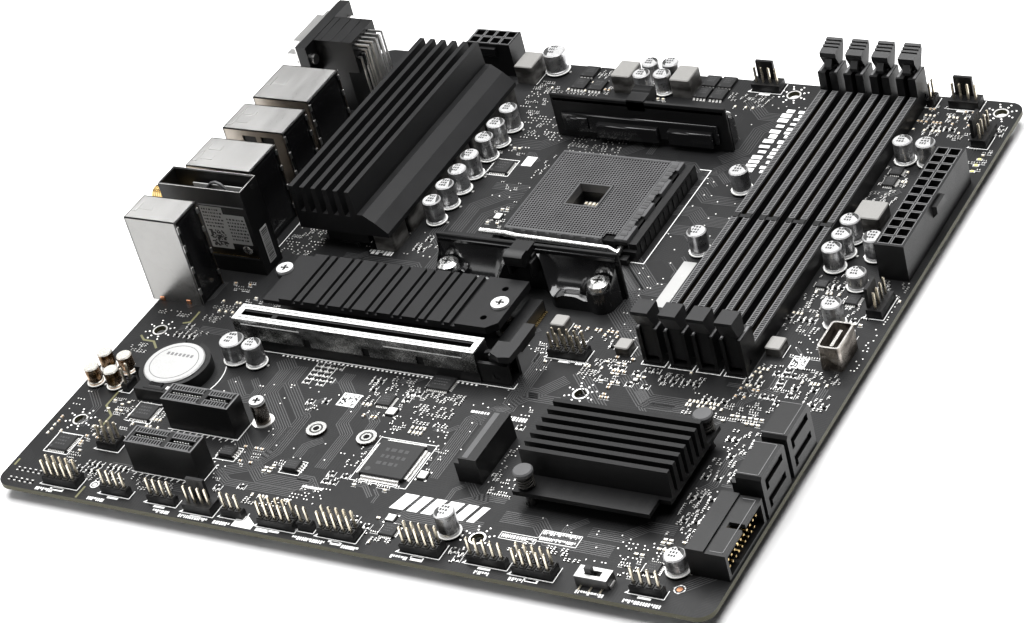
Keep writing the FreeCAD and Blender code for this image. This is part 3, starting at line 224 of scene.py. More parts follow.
BLACK = finish("satin_black", (0.0045, 0.0045, 0.0048), 0.42, grain=2600, bump=0.12, spread=0.25,
               specular=0.3)
SLOT_BLACK = finish("slot_black", (0.0045, 0.0045, 0.0048), 0.4, grain=2200, bump=0.1, spread=0.2,
                    specular=0.3)
GLOSS = finish("gloss_black", (0.006, 0.006, 0.0065), 0.16, grain=700, bump=0.03, coat=0.4)
# grey that is painted edge sheen on the black slots, ports and headers, and print on the coin cell
SHEEN_AND_PRINT_GREY = finish("sheen_and_print_grey", (0.13, 0.13, 0.132), 0.45, grain=2400, bump=0.1)
COVER_GREY = finish("socket_grey", (0.075, 0.075, 0.077), 0.44, grain=2400, bump=0.12,
                    specular=0.3)
# near-black painted shade for holes, grooves, slot mouths and screw recesses
PAINTED_SHADE_DARK = finish("painted_recess_shade", (0.003, 0.003, 0.003), 0.8, grain=2000, bump=0.05, specular=0.2)
LATCH = finish("latch_black", (0.0075, 0.0075, 0.008), 0.42, grain=2600, bump=0.15, specular=0.35)
ANODISED = finish("black_anodised", (0.0085, 0.0085, 0.009), 0.46, grain=2400, bump=0.2,
                  spread=0.2, specular=0.22)
EXTRUDED = finish("extruded_black", (0.006, 0.006, 0.0063), 0.46, grain=1500, specular=0.2,
                  bump=0.15, spread=0.2, stretch=(9, 0.25, 9))
STEEL = finish("bright_steel", (0.72, 0.72, 0.71), 0.26, metal=1.0, grain=5000, bump=0.03, spread=0.05)
NICKEL = finish("port_nickel", (0.60, 0.595, 0.585), 0.33, metal=1.0, grain=2400, bump=0.04,
                spread=0.05, stretch=(3, 0.4, 3), mottle=60.0)
TIN = finish("tinned", (0.85, 0.84, 0.82), 0.34, metal=0.85, grain=5000, bump=0.05, spread=0.08)
GOLD = finish("gold_plate", (0.78, 0.58, 0.27), 0.26, metal=1.0, grain=5000, bump=0.03, spread=0.06)
CONTACT = finish("shaded_contact", (0.10, 0.08, 0.05), 0.4, metal=0.8, grain=5000, bump=0.03)
PIN_GOLD = finish("pin_gold", (0.88, 0.80, 0.64), 0.28, metal=1.0, grain=5000, bump=0.03, spread=0.06)
COPPER = finish("bare_copper", (0.78, 0.36, 0.2), 0.3, metal=1.0, grain=5000, bump=0.03)
CAN = finish("can_aluminium", (0.66, 0.66, 0.665), 0.3, metal=1.0, grain=4000, bump=0.03,
             spread=0.05, stretch=(1, 1, 0.1), mottle=80.0)
CAN_TOP = finish("can_top", (0.56, 0.56, 0.56), 0.5, metal=0.35, grain=4000, bump=0.04, spread=0.05)
PALE = finish("pale_disc", (0.80, 0.80, 0.78), 0.4, grain=3000, bump=0.05, spread=0.05)
CHOKE_SIDE = finish("choke_side", (0.045, 0.042, 0.038), 0.35, metal=0.4, grain=1800, bump=0.15)
RESIN = finish("chip_resin", (0.007, 0.007, 0.0073), 0.48, grain=2200, bump=0.2, spread=0.2,
               specular=0.35)
MARK = finish("grey_mark", (0.035, 0.035, 0.036), 0.6, grain=2500, bump=0.05)
# dark print, and painted shade in a screw's cross recess
INK_AND_PAINTED_SHADE = finish("dark_mark", (0.02, 0.02, 0.02), 0.6, grain=2500, bump=0.05)
LABEL = finish("paper_label", (0.36, 0.36, 0.355), 0.55, grain=1600, bump=0.08, spread=0.06)
SILK = finish("white_legend", (0.86, 0.86, 0.85), 0.65, grain=3000, bump=0.05, spread=0.05)
TAN = finish("tan_ceramic", (0.42, 0.30, 0.18), 0.42, grain=2500, bump=0.1, spread=0.2)
CREAM = finish("cream_ceramic", (0.80, 0.72, 0.56), 0.42, grain=2500, bump=0.1, spread=0.12)
WHITE = finish("white_plastic", (0.82, 0.82, 0.81), 0.4, grain=2500, bump=0.05, spread=0.05)
TRACE = finish("masked_copper", (0.042, 0.042, 0.043), 0.34, grain=2500, bump=0.05, spread=0.12)
OLIVE = finish("masked_gap", (0.13, 0.125, 0.06), 0.5, grain=2500, bump=0.05, spread=0.2)
AMBER = finish("amber_lens", (0.85, 0.78, 0.3), 0.3, grain=2500, bump=0.05, spread=0.08)
BLUE_JACK = finish("blue_plastic", (0.05, 0.12, 0.35), 0.35, grain=1800, bump=0.1)
RUBBER = finish("grey_pad", (0.2, 0.21, 0.22), 0.8, grain=1500, bump=0.4)
# darker copies of the port nickel for the shells' side walls: painted shade
PORT_SIDE = finish("port_side", (0.27, 0.267, 0.26), 0.3, metal=1.0, grain=2400, bump=0.04,
                   spread=0.06, stretch=(3, 0.4, 3), mottle=60.0)
SHADED_SIDE_NICKEL = finish("painted_shade_brown_nickel", (0.30, 0.27, 0.235), 0.36, metal=1.0, grain=1400, bump=0.1,
                   stretch=(3, 0.4, 3))
CABLE = finish("cable_jacket", (0.05, 0.05, 0.052), 0.4, grain=1600, bump=0.1)


# ---------------------------------------------------------------- mesh builder
CORNERS = list(product((0, 1), repeat=3))


def chamfer_faces():
    """Faces of a chamfered box, whose points are three to a corner: one for each axis it is flush along."""
    def spot(axis, side, a, b, flush):
        corner = {axis: side, (axis + 1) % 3: a, (axis + 2) % 3: b}
        return 3 * CORNERS.index((corner[0], corner[1], corner[2])) + flush

    faces = []
    for axis in range(3):
        first, second = (axis + 1) % 3, (axis + 2) % 3
        for side in (0, 1):
            ring = tuple(spot(axis, side, a, b, axis) for a, b in ((0, 0), (1, 0), (1, 1), (0, 1)))
            faces.append(ring if side else ring[::-1])
        for a, b in product((0, 1), repeat=2):
            quad = (spot(axis, 0, a, b, first), spot(axis, 1, a, b, first),
                    spot(axis, 1, a, b, second), spot(axis, 0, a, b, second))
            faces.append(quad if a != b else quad[::-1])
    for k, corner in enumerate(CORNERS):
        tri = (3 * k, 3 * k + 1, 3 * k + 2)
        faces.append(tri if sum(corner) % 2 else tri[::-1])
    return faces


CHAMFER_FACES = chamfer_faces()


def bends(path):
    """Each point of a path with the unit directions that lead to it, from it and through it."""
    points = [Vector(point) for point in path]
    legs = [(b - a).normalized() for a, b in zip(points, points[1:])]
    for here, before, after in zip(points, [None] + legs, legs + [None]):
        yield here, before, after, (before + after).normalized() if before and after else before or after


def sideways(path, narrowest):
    """Each point of an (x, y) path, its left-hand normal, and how far a bend stretches an offset."""
    for here, before, after, run in bends(path):
        normal = Vector((-run.y, run.x))
        stretch = 1.0
        if before and after:
            stretch = 1 / max(narrowest, normal.dot(Vector((-after.y, after.x))))
        yield here, normal, stretch


class Build:
    """Collects faces in board millimetres and turns them into one object."""

    def __init__(self, name):
        self.name = name
        self.points = []
        self.faces = []
        self.materials = []
        self.marks = []
        self.smooth = []

    def index(self, material):
        if material not in self.materials:
            self.materials.append(material)
        return self.materials.index(material)

    def mesh(self, points, faces, material, smooth=False):
        start = len(self.points)
        self.points.extend(points)
        mark = self.index(material)
        for face in faces:
            self.faces.append(tuple(start + i for i in face))
            self.marks.append(mark)
            self.smooth.append(smooth)

    def plate(self, x, y, h, material, floor=()):
        """Plain box between pairs of x, y and h, left open below unless a floor is given."""
        points = [(px, py, ph) for ph in h for py in y for px in x]
        self.mesh(points, [(4, 5, 7, 6), (0, 1, 5, 4), (1, 3, 7, 5), (3, 2, 6, 7), (2, 0, 4, 6), *floor],
                  material)

    def box(self, x, y, h, material, edge=0.0):
        """Closed box between pairs of x, y and h, with chamfered edges when edge is given."""
        if not edge:
            self.plate(x, y, h, material, floor=[(0, 2, 3, 1)])
            return
        points = []
        for corner in CORNERS:
            for axis in range(3):
                inset = [0 if k == axis else edge * (1 - 2 * corner[k]) for k in range(3)]
                points.append(tuple(pair[corner[k]] + inset[k] for k, pair in enumerate((x, y, h))))
        self.mesh(points, CHAMFER_FACES, material)

    def rim(self, x, y, width, h, material, edge=0.0, closed=True):
        """Four boxes, or plates unless closed, that frame a rectangular gap."""
        outer = (x[0] - width, x[1] + width)
        for part_x, part_y in ((outer, (y[0] - width, y[0])), (outer, (y[1], y[1] + width)),
                               ((outer[0], x[0]), y), ((x[1], outer[1]), y)):
            if closed:
                self.box(part_x, part_y, h, material, edge)
            else:
                self.plate(part_x, part_y, h, material)

    def prism(self, outline, h, material):
        """Upright prism over an (x, y) outline given anticlockwise."""
        count = len(outline)
        points = [(x, y, h[0]) for x, y in outline] + [(x, y, h[1]) for x, y in outline]
        self.mesh(points, [tuple(range(count))[::-1], tuple(range(count, 2 * count))], material)
        walls = [(i, (i + 1) % count, count + (i + 1) % count, count + i) for i in range(count)]
        self.mesh(points, walls, material)

    def slab(self, outline, axis, reach, material):
        """Prism along x or y. The outline holds (y, h) points for x, or (x, h) points for y."""
        ends = []
        for value in reach:
            if axis == "x":
                ends.append([(value, a, b) for a, b in outline])
            else:
                ends.append([(a, value, b) for a, b in outline])
        count = len(outline)
        faces = [tuple(range(count)), tuple(range(count, 2 * count))[::-1]]
        faces += [(i, count + i, count + (i + 1) % count, (i + 1) % count) for i in range(count)]
        self.mesh(ends[0] + ends[1], faces, material)

    def lathe(self, centre, profile, material, sides=20, axis="h", smooth=True):
        """Turned shape about an upright axis, or about x or y; profile is (radius, distance)."""
        points = []
        for radius, reach in profile:
            for k in range(sides):
                angle = 2 * math.pi * k / sides
                a, b = radius * math.cos(angle), radius * math.sin(angle)
                offset = {"h": (a, b, reach), "x": (reach, a, b), "y": (b, reach, a)}[axis]
                points.append(tuple(centre[i] + offset[i] for i in range(3)))
        faces = []
        for ring in range(len(profile) - 1):
            for k in range(sides):
                low, high = ring * sides, (ring + 1) * sides
                after = (k + 1) % sides
                faces.append((low + k, low + after, high + after, high + k))
        self.mesh(points, faces, material, smooth)
        last = (len(profile) - 1) * sides
        caps = []
        if profile[0][0] > 1e-6:
            caps.append(tuple(range(sides))[::-1])
        if profile[-1][0] > 1e-6:
            caps.append(tuple(range(last, last + sides)))
        self.mesh(points, caps, material)

    def ring(self, centre, inner, outer, h, material, sides=20):
        """Flat annulus, open below."""
        points, faces = [], []
        for k in range(sides + 1):
            angle = 2 * math.pi * k / sides
            for radius in (inner, outer):
                for level in h:
                    points.append(polar(centre, radius, angle) + (level,))
        for k in range(sides):
            a, b = 4 * k, 4 * k + 4
            faces += [(a + 1, a + 3, b + 3, b + 1), (a + 3, a + 2, b + 2, b + 3),
                      (a, a + 1, b + 1, b), (a + 2, a, b, b + 2)]
        self.mesh(points, faces, material)

    def line(self, path, width, h, material):
        """Flat strip of constant width along an (x, y) path, with mitred bends."""
        half = width / 2
        sides = [(here + normal * half * stretch, here - normal * half * stretch)
                 for here, normal, stretch in sideways(path, 0.4)]
        points, faces = [], []
        for left, right in sides:
            points += [(left.x, left.y, h[1]), (right.x, right.y, h[1]),
                       (right.x, right.y, h[0]), (left.x, left.y, h[0])]
        for i in range(len(path) - 1):
            a, b = 4 * i, 4 * i + 4
            faces += [(a, a + 1, b + 1, b), (a + 1, a + 2, b + 2, b + 1), (a + 3, a, b, b + 3)]
        end = 4 * (len(path) - 1)
        faces += [(3, 2, 1, 0), (end, end + 1, end + 2, end + 3)]
        self.mesh(points, faces, material)

    def tube(self, path, radius, material, sides=12):
        """Round wire through (x, y, h) points."""
        points, faces = [], []
        normal = None
        for here, _, _, run in bends(path):
            if normal is None:
                normal = run.cross(Vector((0, 0, 1)) if abs(run.z) < 0.9 else Vector((1, 0, 0)))
            normal = (normal - run * normal.dot(run)).normalized()
            side = run.cross(normal)
            for k in range(sides):
                angle = 2 * math.pi * k / sides
                points.append(tuple(here + (normal * math.cos(angle) + side * math.sin(angle)) * radius))
        for i in range(len(path) - 1):
            for k in range(sides):
                after = (k + 1) % sides
                a, b = i * sides, (i + 1) * sides
                faces.append((a + k, a + after, b + after, b + k))
        self.mesh(points, faces, material, smooth=True)
        last = (len(path) - 1) * sides
        self.mesh(points, [tuple(range(sides))[::-1], tuple(range(last, last + sides))], material)

    def done(self, body="board", slot="black_plastic", bevel=0.0, replaces=()):
        """Makes the object, which rides on a body and may stand in for CAD nodes."""
        mesh = bpy.data.meshes.new(self.name)
        mesh.from_pydata([tuple(at(*p)) for p in self.points], [], self.faces)
        for material in self.materials:
            mesh.materials.append(material)
        mesh.polygons.foreach_set("material_index", self.marks)
        mesh.polygons.foreach_set("use_smooth", self.smooth)
        mesh.update()
        if any(self.smooth):
            mesh.set_sharp_from_angle(angle=math.radians(38))
        piece = bpy.data.objects.new(self.name, mesh)
        bpy.context.scene.collection.objects.link(piece)
        if bevel:
            soften(piece, bevel)
        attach(piece, body)
        if replaces:
            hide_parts(*replaces)
        return piece


def soften(piece, width):
    """Rounded edges, so that corners catch the light."""
    edge = piece.modifiers.new("edges", "BEVEL")
    edge.width = width * MM
    edge.segments = 2
    edge.limit_method = "ANGLE"
    edge.angle_limit = math.radians(40)
    edge.harden_normals = False


def dress(node, material, bevel=0.0):
    """Gives a CAD node its material, and rounded edges where its shape stays."""
    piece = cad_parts[node]
    piece.data.materials.clear()
    piece.data.materials.append(material)
    if bevel:
        soften(piece, bevel)


def solids(node):
    """Boxes of a node's separate solids, as (x, y, h) pairs in board millimetres, in a fixed order."""
    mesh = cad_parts[node].data
    spots = [tuple(round(c, 6) for c in v.co) for v in mesh.vertices]
    leader = {spot: spot for spot in spots}

    def find(spot):
        while leader[spot] != spot:
            leader[spot] = leader[leader[spot]]
            spot = leader[spot]
        return spot

    for face in mesh.polygons:
        first = find(spots[face.vertices[0]])
        for vertex in face.vertices[1:]:
            leader[find(spots[vertex])] = first
    groups = {}
    for spot in leader:
        groups.setdefault(find(spot), []).append(spot)
    boxes = []
    for members in groups.values():
        low = [min(m[axis] for m in members) for axis in range(3)]
        high = [max(m[axis] for m in members) for axis in range(3)]
        boxes.append(in_board_mm(low, high))
    return sorted(boxes)


# ---------------------------------------------------------------- CAD pieces that keep their shape
def sleeve_finish():
    """Green, pink and blue audio sleeves, told apart by their height."""
    n = Nodes("audio_sleeves")
    height = n.add("SeparateXYZ", {"Vector": n.place()}).outputs["Z"]
    low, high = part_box("audio_jack_rings")
    third = (high.z - low.z) / 3
    lower = n.math("GREATER_THAN", height, low.z + third)
    upper = n.math("GREATER_THAN", height, low.z + 2 * third)
    tone = n.mix(lower, (0.7, 0.22, 0.33, 1), (0.12, 0.42, 0.12, 1))
    tone = n.mix(upper, tone, (0.1, 0.32, 0.65, 1))
    fine = n.noise(n.place(), 2200.0, 3.0)
    n.feed(n.surface.inputs["Base Color"], n.mix(n.math("MULTIPLY", fine, 0.3), tone, (0.02, 0.02, 0.02, 1)))
    n.feed(n.surface.inputs["Roughness"], n.remap(fine, 0.3, 0.7, 0.28, 0.42))
    return n.relief(fine, 0.1)


def two_tone_with_painted_light(name, top, side, metal=(0.5, 0.5), rough=0.32, painted_reflection=0.0):
    """One finish for upward faces and another for upright ones: in part a part's own two colours, in part
    painted light, with lit tops over shaded sides and painted cloudy reflections on the sides.
    """
    n = Nodes(name)
    up = n.add("SeparateXYZ", {"Vector": n.add("NewGeometry").outputs["Normal"]}).outputs["Z"]
    up = n.remap(up, 0.4, 0.8, 0.0, 1.0)
    fine = n.noise(n.place(), 2600.0, 3.0)
    drift = n.noise(n.place(stretch=(1.0, 1.0, 2.2)), 130.0, 2.0)
    # painted reflections: the sides are brightened in broad cloudy patches
    bright = tuple(min(1.0, c * (1 + painted_reflection) + 0.1 * painted_reflection) for c in side)
    flank = n.mix(n.remap(drift, 0.42, 0.62, 0.0, 1.0), shade(side, 1), shade(bright, 1))
    face = n.mix(n.remap(fine, 0.3, 0.7, 0.0, 1.0), shade(top, 0.92), shade(top, 1.06))
    n.feed(n.surface.inputs["Base Color"], n.mix(up, flank, face))
    n.feed(n.surface.inputs["Metallic"], n.remap(up, 0.0, 1.0, metal[1], metal[0]))
    n.feed(n.surface.inputs["Roughness"], n.remap(fine, 0.3, 0.7, rough - 0.05, rough + 0.07))
    return n.relief(fine, 0.05)


# top colour, side colour, metalness and strength of painted reflection. On the slot shield, stand-offs,
# chokes and Type-C case the light tops and dark sides are lit and shaded copies of one metal: painted light
# and shade. The audio capacitors' pale tops over gold sleeves are their own colours.
SHIELD = two_tone_with_painted_light("slot_shield", (0.86, 0.86, 0.85), (0.10, 0.10, 0.098), (0.45, 0.9), 0.26, 1.2)
CHOKE_CASE = two_tone_with_painted_light("choke_case", (0.25, 0.245, 0.235), (0.05, 0.047, 0.043), (0.3, 0.5), 0.42, 1.0)
SWITCH = two_tone_with_painted_light("switch_case", (0.60, 0.60, 0.59), (0.03, 0.03, 0.03), (0.0, 0.0), 0.4)
STANDOFF = two_tone_with_painted_light("standoff", (0.55, 0.55, 0.53), (0.07, 0.06, 0.05), (0.6, 0.95), 0.22, 2.0)
CAN_CASE = two_tone_with_painted_light("can_case", (0.50, 0.50, 0.50), (0.36, 0.36, 0.365), (0.3, 0.95), 0.3, 0.8)
AUDIO_CAN = two_tone_with_painted_light("audio_can", (0.56, 0.55, 0.51), (0.10, 0.055, 0.02), (0.3, 0.95), 0.24, 2.5)
TYPE_C = two_tone_with_painted_light("type_c_case", (0.42, 0.41, 0.39), (0.11, 0.095, 0.08), (0.8, 0.9), 0.3, 1.5)
CELL = two_tone_with_painted_light("cell_case", (0.44, 0.44, 0.435), (0.5, 0.5, 0.5), (0.3, 0.9), 0.34, 0.4)

# look, then the CAD nodes that wear it with the bevel of each in millimetres
LOOKS = (
    (BLACK, {"socket_base": 0.15, "m2_connectors": 0.15, "capacitor_bases": 0.15, "power_headers": 0.15,
             "sata_contacts": 0.1, "header_bases": 0.12, "battery_holder": 0.2, "led_switch_slider": 0.1,
             "rear_port_inserts": 0.1, "wifi_bracket": 0.15, "vga_housing": 0.25}),
    (SLOT_BLACK, {"dimm_slots": 0.12, "pcie_x16_slot": 0.12, "pcie_x1_slots": 0.1, "sata_ports": 0.18,
                  "usb3_header": 0.18}),
    (LATCH, {"pcie_x16_latch": 0.25}),
    (LATCH, {"dimm_latch_%d_%s" % (slot, end): 0.28 for slot in range(1, 5) for end in ("near", "far")}),
    (ANODISED, {"m2_heatsink": 0.22, "vrm_heatsink": 0.25}),
    (EXTRUDED, {"chipset_heatsink": 0.2}),
    (COVER_GREY, {"push_pin_left": 0.12, "push_pin_right": 0.12}),
    (RESIN, {"chipset_package": 0.1, "ic_packages": 0.0, "wifi_module": 0.05}),
    (RUBBER, {"thermal_pads": 0.2}),
    (STEEL, {"socket_backplate": 0.25, "socket_lever": 0.0, "bracket_screws": 0.0}),
    (CAN_TOP, {"heatsink_screws": 0.1}),
    (NICKEL, {"vga_shell": 0.06}),
    (TIN, {"power_pins": 0.1}),
    (GOLD, {"usb3_pins": 0.05, "antenna_jacks": 0.12}),
    (PIN_GOLD, {"header_pins": 0.0}),
    (CONTACT, {"dimm_contacts": 0.0, "pcie_contacts": 0.0}),
    (SHIELD, {"pcie_x16_shield": 0.08}),
    (CHOKE_CASE, {"chokes": 0.3}),
    (SWITCH, {"led_switch_body": 0.12}),
    (STANDOFF, {"m2_standoffs": 0.1}),
    (CAN_CASE, {"capacitor_cans": 0.0}),
    (AUDIO_CAN, {"audio_capacitors": 0.0}),
    (TYPE_C, {"usb_c_header": 0.08}),
    (CELL, {"coin_cell": 0.12}),
    (board_finish(), {"pcb": 0.12}),
    (sleeve_finish(), {"audio_jack_rings": 0.1}),
)
for look, nodes in LOOKS:
    for node, bevel in nodes.items():
        dress(node, look, bevel)


# ---------------------------------------------------------------- cooler brackets
SOCKET_CENTRE = middle("socket_backplate")
COVER_X, COVER_Y, COVER_H = span("socket_cover")
RAIL_REACH = 1.3
TOWER_DX = 27.0
TOWER_D = 6.2
TOWER_R = 4.3
TOWER_H = 7.4
ARM_D = 9.7


def ease(value, low, high):
    t = min(1.0, max(0.0, (value - low) / (high - low)))
    return t * t * (3 - 2 * t)


def bracket_edge(dx):
    """How far the foot of a bracket reaches from its inner face, at dx from its middle."""
    dx = abs(dx)
    reach = RAIL_REACH + 0.2
    if dx < TOWER_DX:
        reach = 2.0 + (ARM_D - 2.0) * ease(dx, 3.4, 12.5)
    if abs(dx - TOWER_DX) < TOWER_R:
        reach = max(reach if dx < TOWER_DX else 0.0,
                    TOWER_D + math.sqrt(TOWER_R ** 2 - (dx - TOWER_DX) ** 2))
    return reach


def bracket_level(dx, d):
    """Height of a bracket's upper surface at dx from its middle and d from its inner face."""
    dx = abs(dx)
    shelf = 3.6 + 10.4 * math.exp(-(d - RAIL_REACH) / 2.6)
    hump = 14.2 - 0.35 * (d - RAIL_REACH)
    saddle = 1.2 * ease(dx, 12.0, 16.0) * (1 - ease(dx, 19.0, 23.0)) * ease(d, 5.5, 9.0)
    level = shelf + saddle + (hump - shelf) * (1 - ease(dx, 3.6, 11.0))
    from_tower = math.hypot(dx - TOWER_DX, d - TOWER_D)
    if dx > 18.0:
        rim = TOWER_H + 0.7 * (1 - ease(abs(from_tower - 5.2), 0.2, 1.6))
        level = max(level, rim if from_tower < 6.6 and d < TOWER_D + 1.5 else level)
    if from_tower < TOWER_R:
        level = TOWER_H
    return level


def retention_bracket(build, cx, inner, away):
    """One bracket; away is +1 for the one on the +y side of the socket and -1 for the other."""
    columns, rows = 132, 26
    left, right = -32.4, 32.6
    points, faces = [], []
    for column in range(columns + 1):
        dx = left + (right - left) * column / columns
        edge = bracket_edge(dx)
        for row in range(rows + 1):
            d = RAIL_REACH + (edge - RAIL_REACH) * row / rows
            points.append((cx + dx, inner + away * d, bracket_level(dx, d)))
        points.append((cx + dx, inner + away * edge, 0.0))
    stride = rows + 2
    for column in range(columns):
        for row in range(rows + 1):
            a = column * stride + row
            quad = (a, a + stride, a + stride + 1, a + 1)
            faces.append(quad if away > 0 else quad[::-1])
    build.mesh(points, faces, GLOSS, smooth=True)
    near, far = sorted((inner, inner + away * RAIL_REACH))
    rail_top = 16.7
    build.box((cx + left, cx + right), (near, far), (0, rail_top), BLACK, edge=0.3)
    build.box((cx + left + 0.8, cx + right - 0.8), sorted((inner, inner + away * 1.9)),
              (rail_top - 2.6, rail_top - 1.1), GLOSS, edge=0.25)
    lug = [(0.0, 13.0), (8.2, 13.0), (9.1, 14.2), (9.1, 17.1), (8.2, 17.7), (5.4, 17.7), (4.9, 17.1),
           (0.0, 17.1)]
    outline = [(inner + away * d, h) for d, h in lug]
    build.slab(outline if away > 0 else outline[::-1], "x", (cx - 3.3, cx + 3.3), BLACK)
    for side in (-1, 1):
        for step in (0, 1):
            reach = sorted((cx + side * 3.3, cx + side * (4.6 - 0.5 * step)))
            build.box(reach, sorted((inner + away * 1.2, inner + away * (6.6 - 2.2 * step))),
                      (8.0, 13.6 + 1.2 * step), BLACK, edge=0.3)


def add_brackets():
    build = Build("cooler_brackets")
    cx, cy = SOCKET_CENTRE
    for away in (-1, 1):
        retention_bracket(build, cx, cy + away * 38.8, away)
    face = cy + 38.8
    for left, right, depth, levels in ((-29.0, 29.0, 1.0, (3.0, 10.2)), (-16.0, 7.0, 2.2, (2.0, 7.4)),
                                       (10.5, 27.0, 2.2, (2.0, 7.4)), (-27.0, -19.0, 1.8, (4.5, 9.0))):
        build.box((cx + left, cx + right), (face - depth, face + 0.1), levels, GLOSS, edge=0.4)
    build.done(replaces=["retention_brackets"], bevel=0.12)


add_brackets()


# ---------------------------------------------------------------- processor socket
def pierced_cell(build, u, v, radius, h, material):
    """Square cell with an eight-sided hole through it, the hole's walls painted near-black as shade."""
    corners = 8
    mid = (half_way(u), half_way(v))
    half = (u[1] - u[0]) / 2
    points, faces, walls = [], [], []
    for k in range(corners):
        angle = 2 * math.pi * k / corners
        c, s = math.cos(angle), math.sin(angle)
        push = half / max(abs(c), abs(s))
        points += [(mid[0] + c * push, mid[1] + s * push, h[1]),
                   (mid[0] + c * radius, mid[1] + s * radius, h[1]),
                   (mid[0] + c * radius * 0.9, mid[1] + s * radius * 0.9, h[0])]
    for k in range(corners):
        a, b = 3 * k, 3 * ((k + 1) % corners)
        faces.append((a, b, b + 1, a + 1))
        walls.append((a + 1, b + 1, b + 2, a + 2))
    build.mesh(points, faces, material)
    build.mesh(points, walls, PAINTED_SHADE_DARK)


CAM_CLEAR_H = 4.9     # the lever's shaft turns below this height, under the cover's hinge strip


def add_socket_cover():
    """Pierced sliding cover: a raised grid field, a window, and a plain strip over the hinge side."""
    build = Build("socket_cover_pierced")
    cx, cy = SOCKET_CENTRE
    x0, y0, y1 = COVER_X[0], COVER_Y[0], COVER_Y[1]
    top, low = COVER_H[1], COVER_H[0]
    field_top = top - 0.25
    window = 5.5
    pitch = 1.0
    columns, rows = 39, 41
    field_x, field_y = x0 + 0.6, y0 + 1.2
    strip_x = field_x + columns * pitch
    right = 150.3
    for column in range(columns):
        for row in range(rows):
            u = (field_x + column * pitch, field_x + (column + 1) * pitch)
            v = (field_y + row * pitch, field_y + (row + 1) * pitch)
            inside = abs(half_way(u) - cx) < window + 0.6 and abs(half_way(v) - cy) < window + 0.6
            front_notch = 35 <= column and row < 2
            if not inside and not front_notch:
                pierced_cell(build, u, v, 0.37, (field_top - 0.7, field_top), COVER_GREY)
    ring = window + 0.4
    floor_top = field_top - 0.72
    # near-black floor under the grid, the window ring and the hinge strip: painted shade seen through the
    # holes
    for x, y, bottom in (((x0 + 0.3, cx - ring), (y0 + 0.4, y1 - 0.4), low),
                         ((cx + ring, strip_x), (y0 + 0.4, y1 - 0.4), low),
                         ((strip_x, right - 0.2), (y0 + 0.4, y1 - 0.4), CAM_CLEAR_H),
                         ((cx - ring, cx + ring), (y0 + 0.4, cy - ring), low),
                         ((cx - ring, cx + ring), (cy + ring, y1 - 0.4), low)):
        build.box(x, y, (bottom, floor_top), PAINTED_SHADE_DARK)
    build.rim((cx - window, cx + window), (cy - window, cy + window), 0.7, (low, top - 0.1), COVER_GREY, 0.12)
    field_end = field_y + rows * pitch
    build.box((x0, strip_x), (field_end, y1), (low, top), COVER_GREY, edge=0.15)
    build.box((x0, field_x), (y0, field_end), (low, top), COVER_GREY, edge=0.15)
    build.box((field_x, strip_x - 4.2), (y0, field_y), (low, top), COVER_GREY, edge=0.15)
    strip_parts(build, (strip_x, right), (y0 + 0.6, y1), (low, top))
    for k in range(9):
        x = x0 + 2.0 + 4.4 * k
        if x < strip_x - 5:
            build.box((x, x + 1.6), (y0 - 0.25, y0 + 0.3), (low + 0.6, top - 0.3), COVER_GREY, edge=0.1)
    build.done(body="socket_top", slot="grey_plastic", replaces=["socket_cover"])


def strip_parts(build, x, y, h):
    """Plain strip of the cover with three slots along its outer edge, each floored with painted shade, and
    raised ribs.
    """
    half_slot, slot_w = 2.5, 1.5
    edge_x = x[1] - slot_w
    build.box((x[1] - 0.26, x[1] - 0.02), (y[0] + 0.1, y[1] - 0.1), (h[0], CAM_CLEAR_H + 0.1), COVER_GREY)
    raised = (CAM_CLEAR_H, h[1])
    build.box((x[0], edge_x), y, raised, COVER_GREY, edge=0.12)
    start = y[0]
    for share in (0.24, 0.53, 0.83):
        mid = y[0] + (y[1] - y[0]) * share
        build.box((edge_x, x[1]), (start, mid - half_slot), raised, COVER_GREY, edge=0.12)
        build.box((edge_x + 0.3, x[1] - 0.2), (mid - half_slot, mid + half_slot),
                  (CAM_CLEAR_H, CAM_CLEAR_H + 1.0), PAINTED_SHADE_DARK)
        start = mid + half_slot
    build.box((edge_x, x[1]), (start, y[1]), raised, COVER_GREY, edge=0.12)
    rng = random.Random(11)
    mark = y[0] + 2.0
    while mark < y[1] - 3.0:
        length = rng.choice((0.7, 1.1, 1.5))
        build.box((x[0] + 1.3, x[0] + 3.6), (mark, mark + length), (h[1], h[1] + 0.12), MARK)
        mark += length + rng.choice((0.6, 0.6, 1.8))
    build.box((x[0] + 0.5, x[0] + 0.8), (y[0] + 1.5, y[1] - 1.5), (h[1], h[1] + 0.1), MARK)


def add_socket_details():
    """Ceramic capacitors in the window, and the base's trim around the cover."""
    build = Build("window_capacitors")
    for (x, y, h) in solids("socket_capacitors"):
        chip_part(build, (half_way(x), half_way(y)), (x[1] - x[0], y[1] - y[0]), h[1], CREAM, along="y")
    build.done(slot="cream_plastic", replaces=["socket_capacitors"])
    trim = Build("socket_trim")
    x, y, h = span("socket_base")
    for k in range(12):
        step = y[0] + 6.0 + 3.4 * k
        trim.box((x[1] - 0.05, x[1] + 0.25), (step, step + 1.4), (0.8, 4.6), SLOT_BLACK, edge=0.1)
    for k in range(3):
        step = SOCKET_CENTRE[0] - 12 + 12 * k
        trim.box((step - 2.5, step + 2.5), (y[1] - 0.1, y[1] + 0.3), (1.0, 2.8), SLOT_BLACK, edge=0.1)
    trim.done()


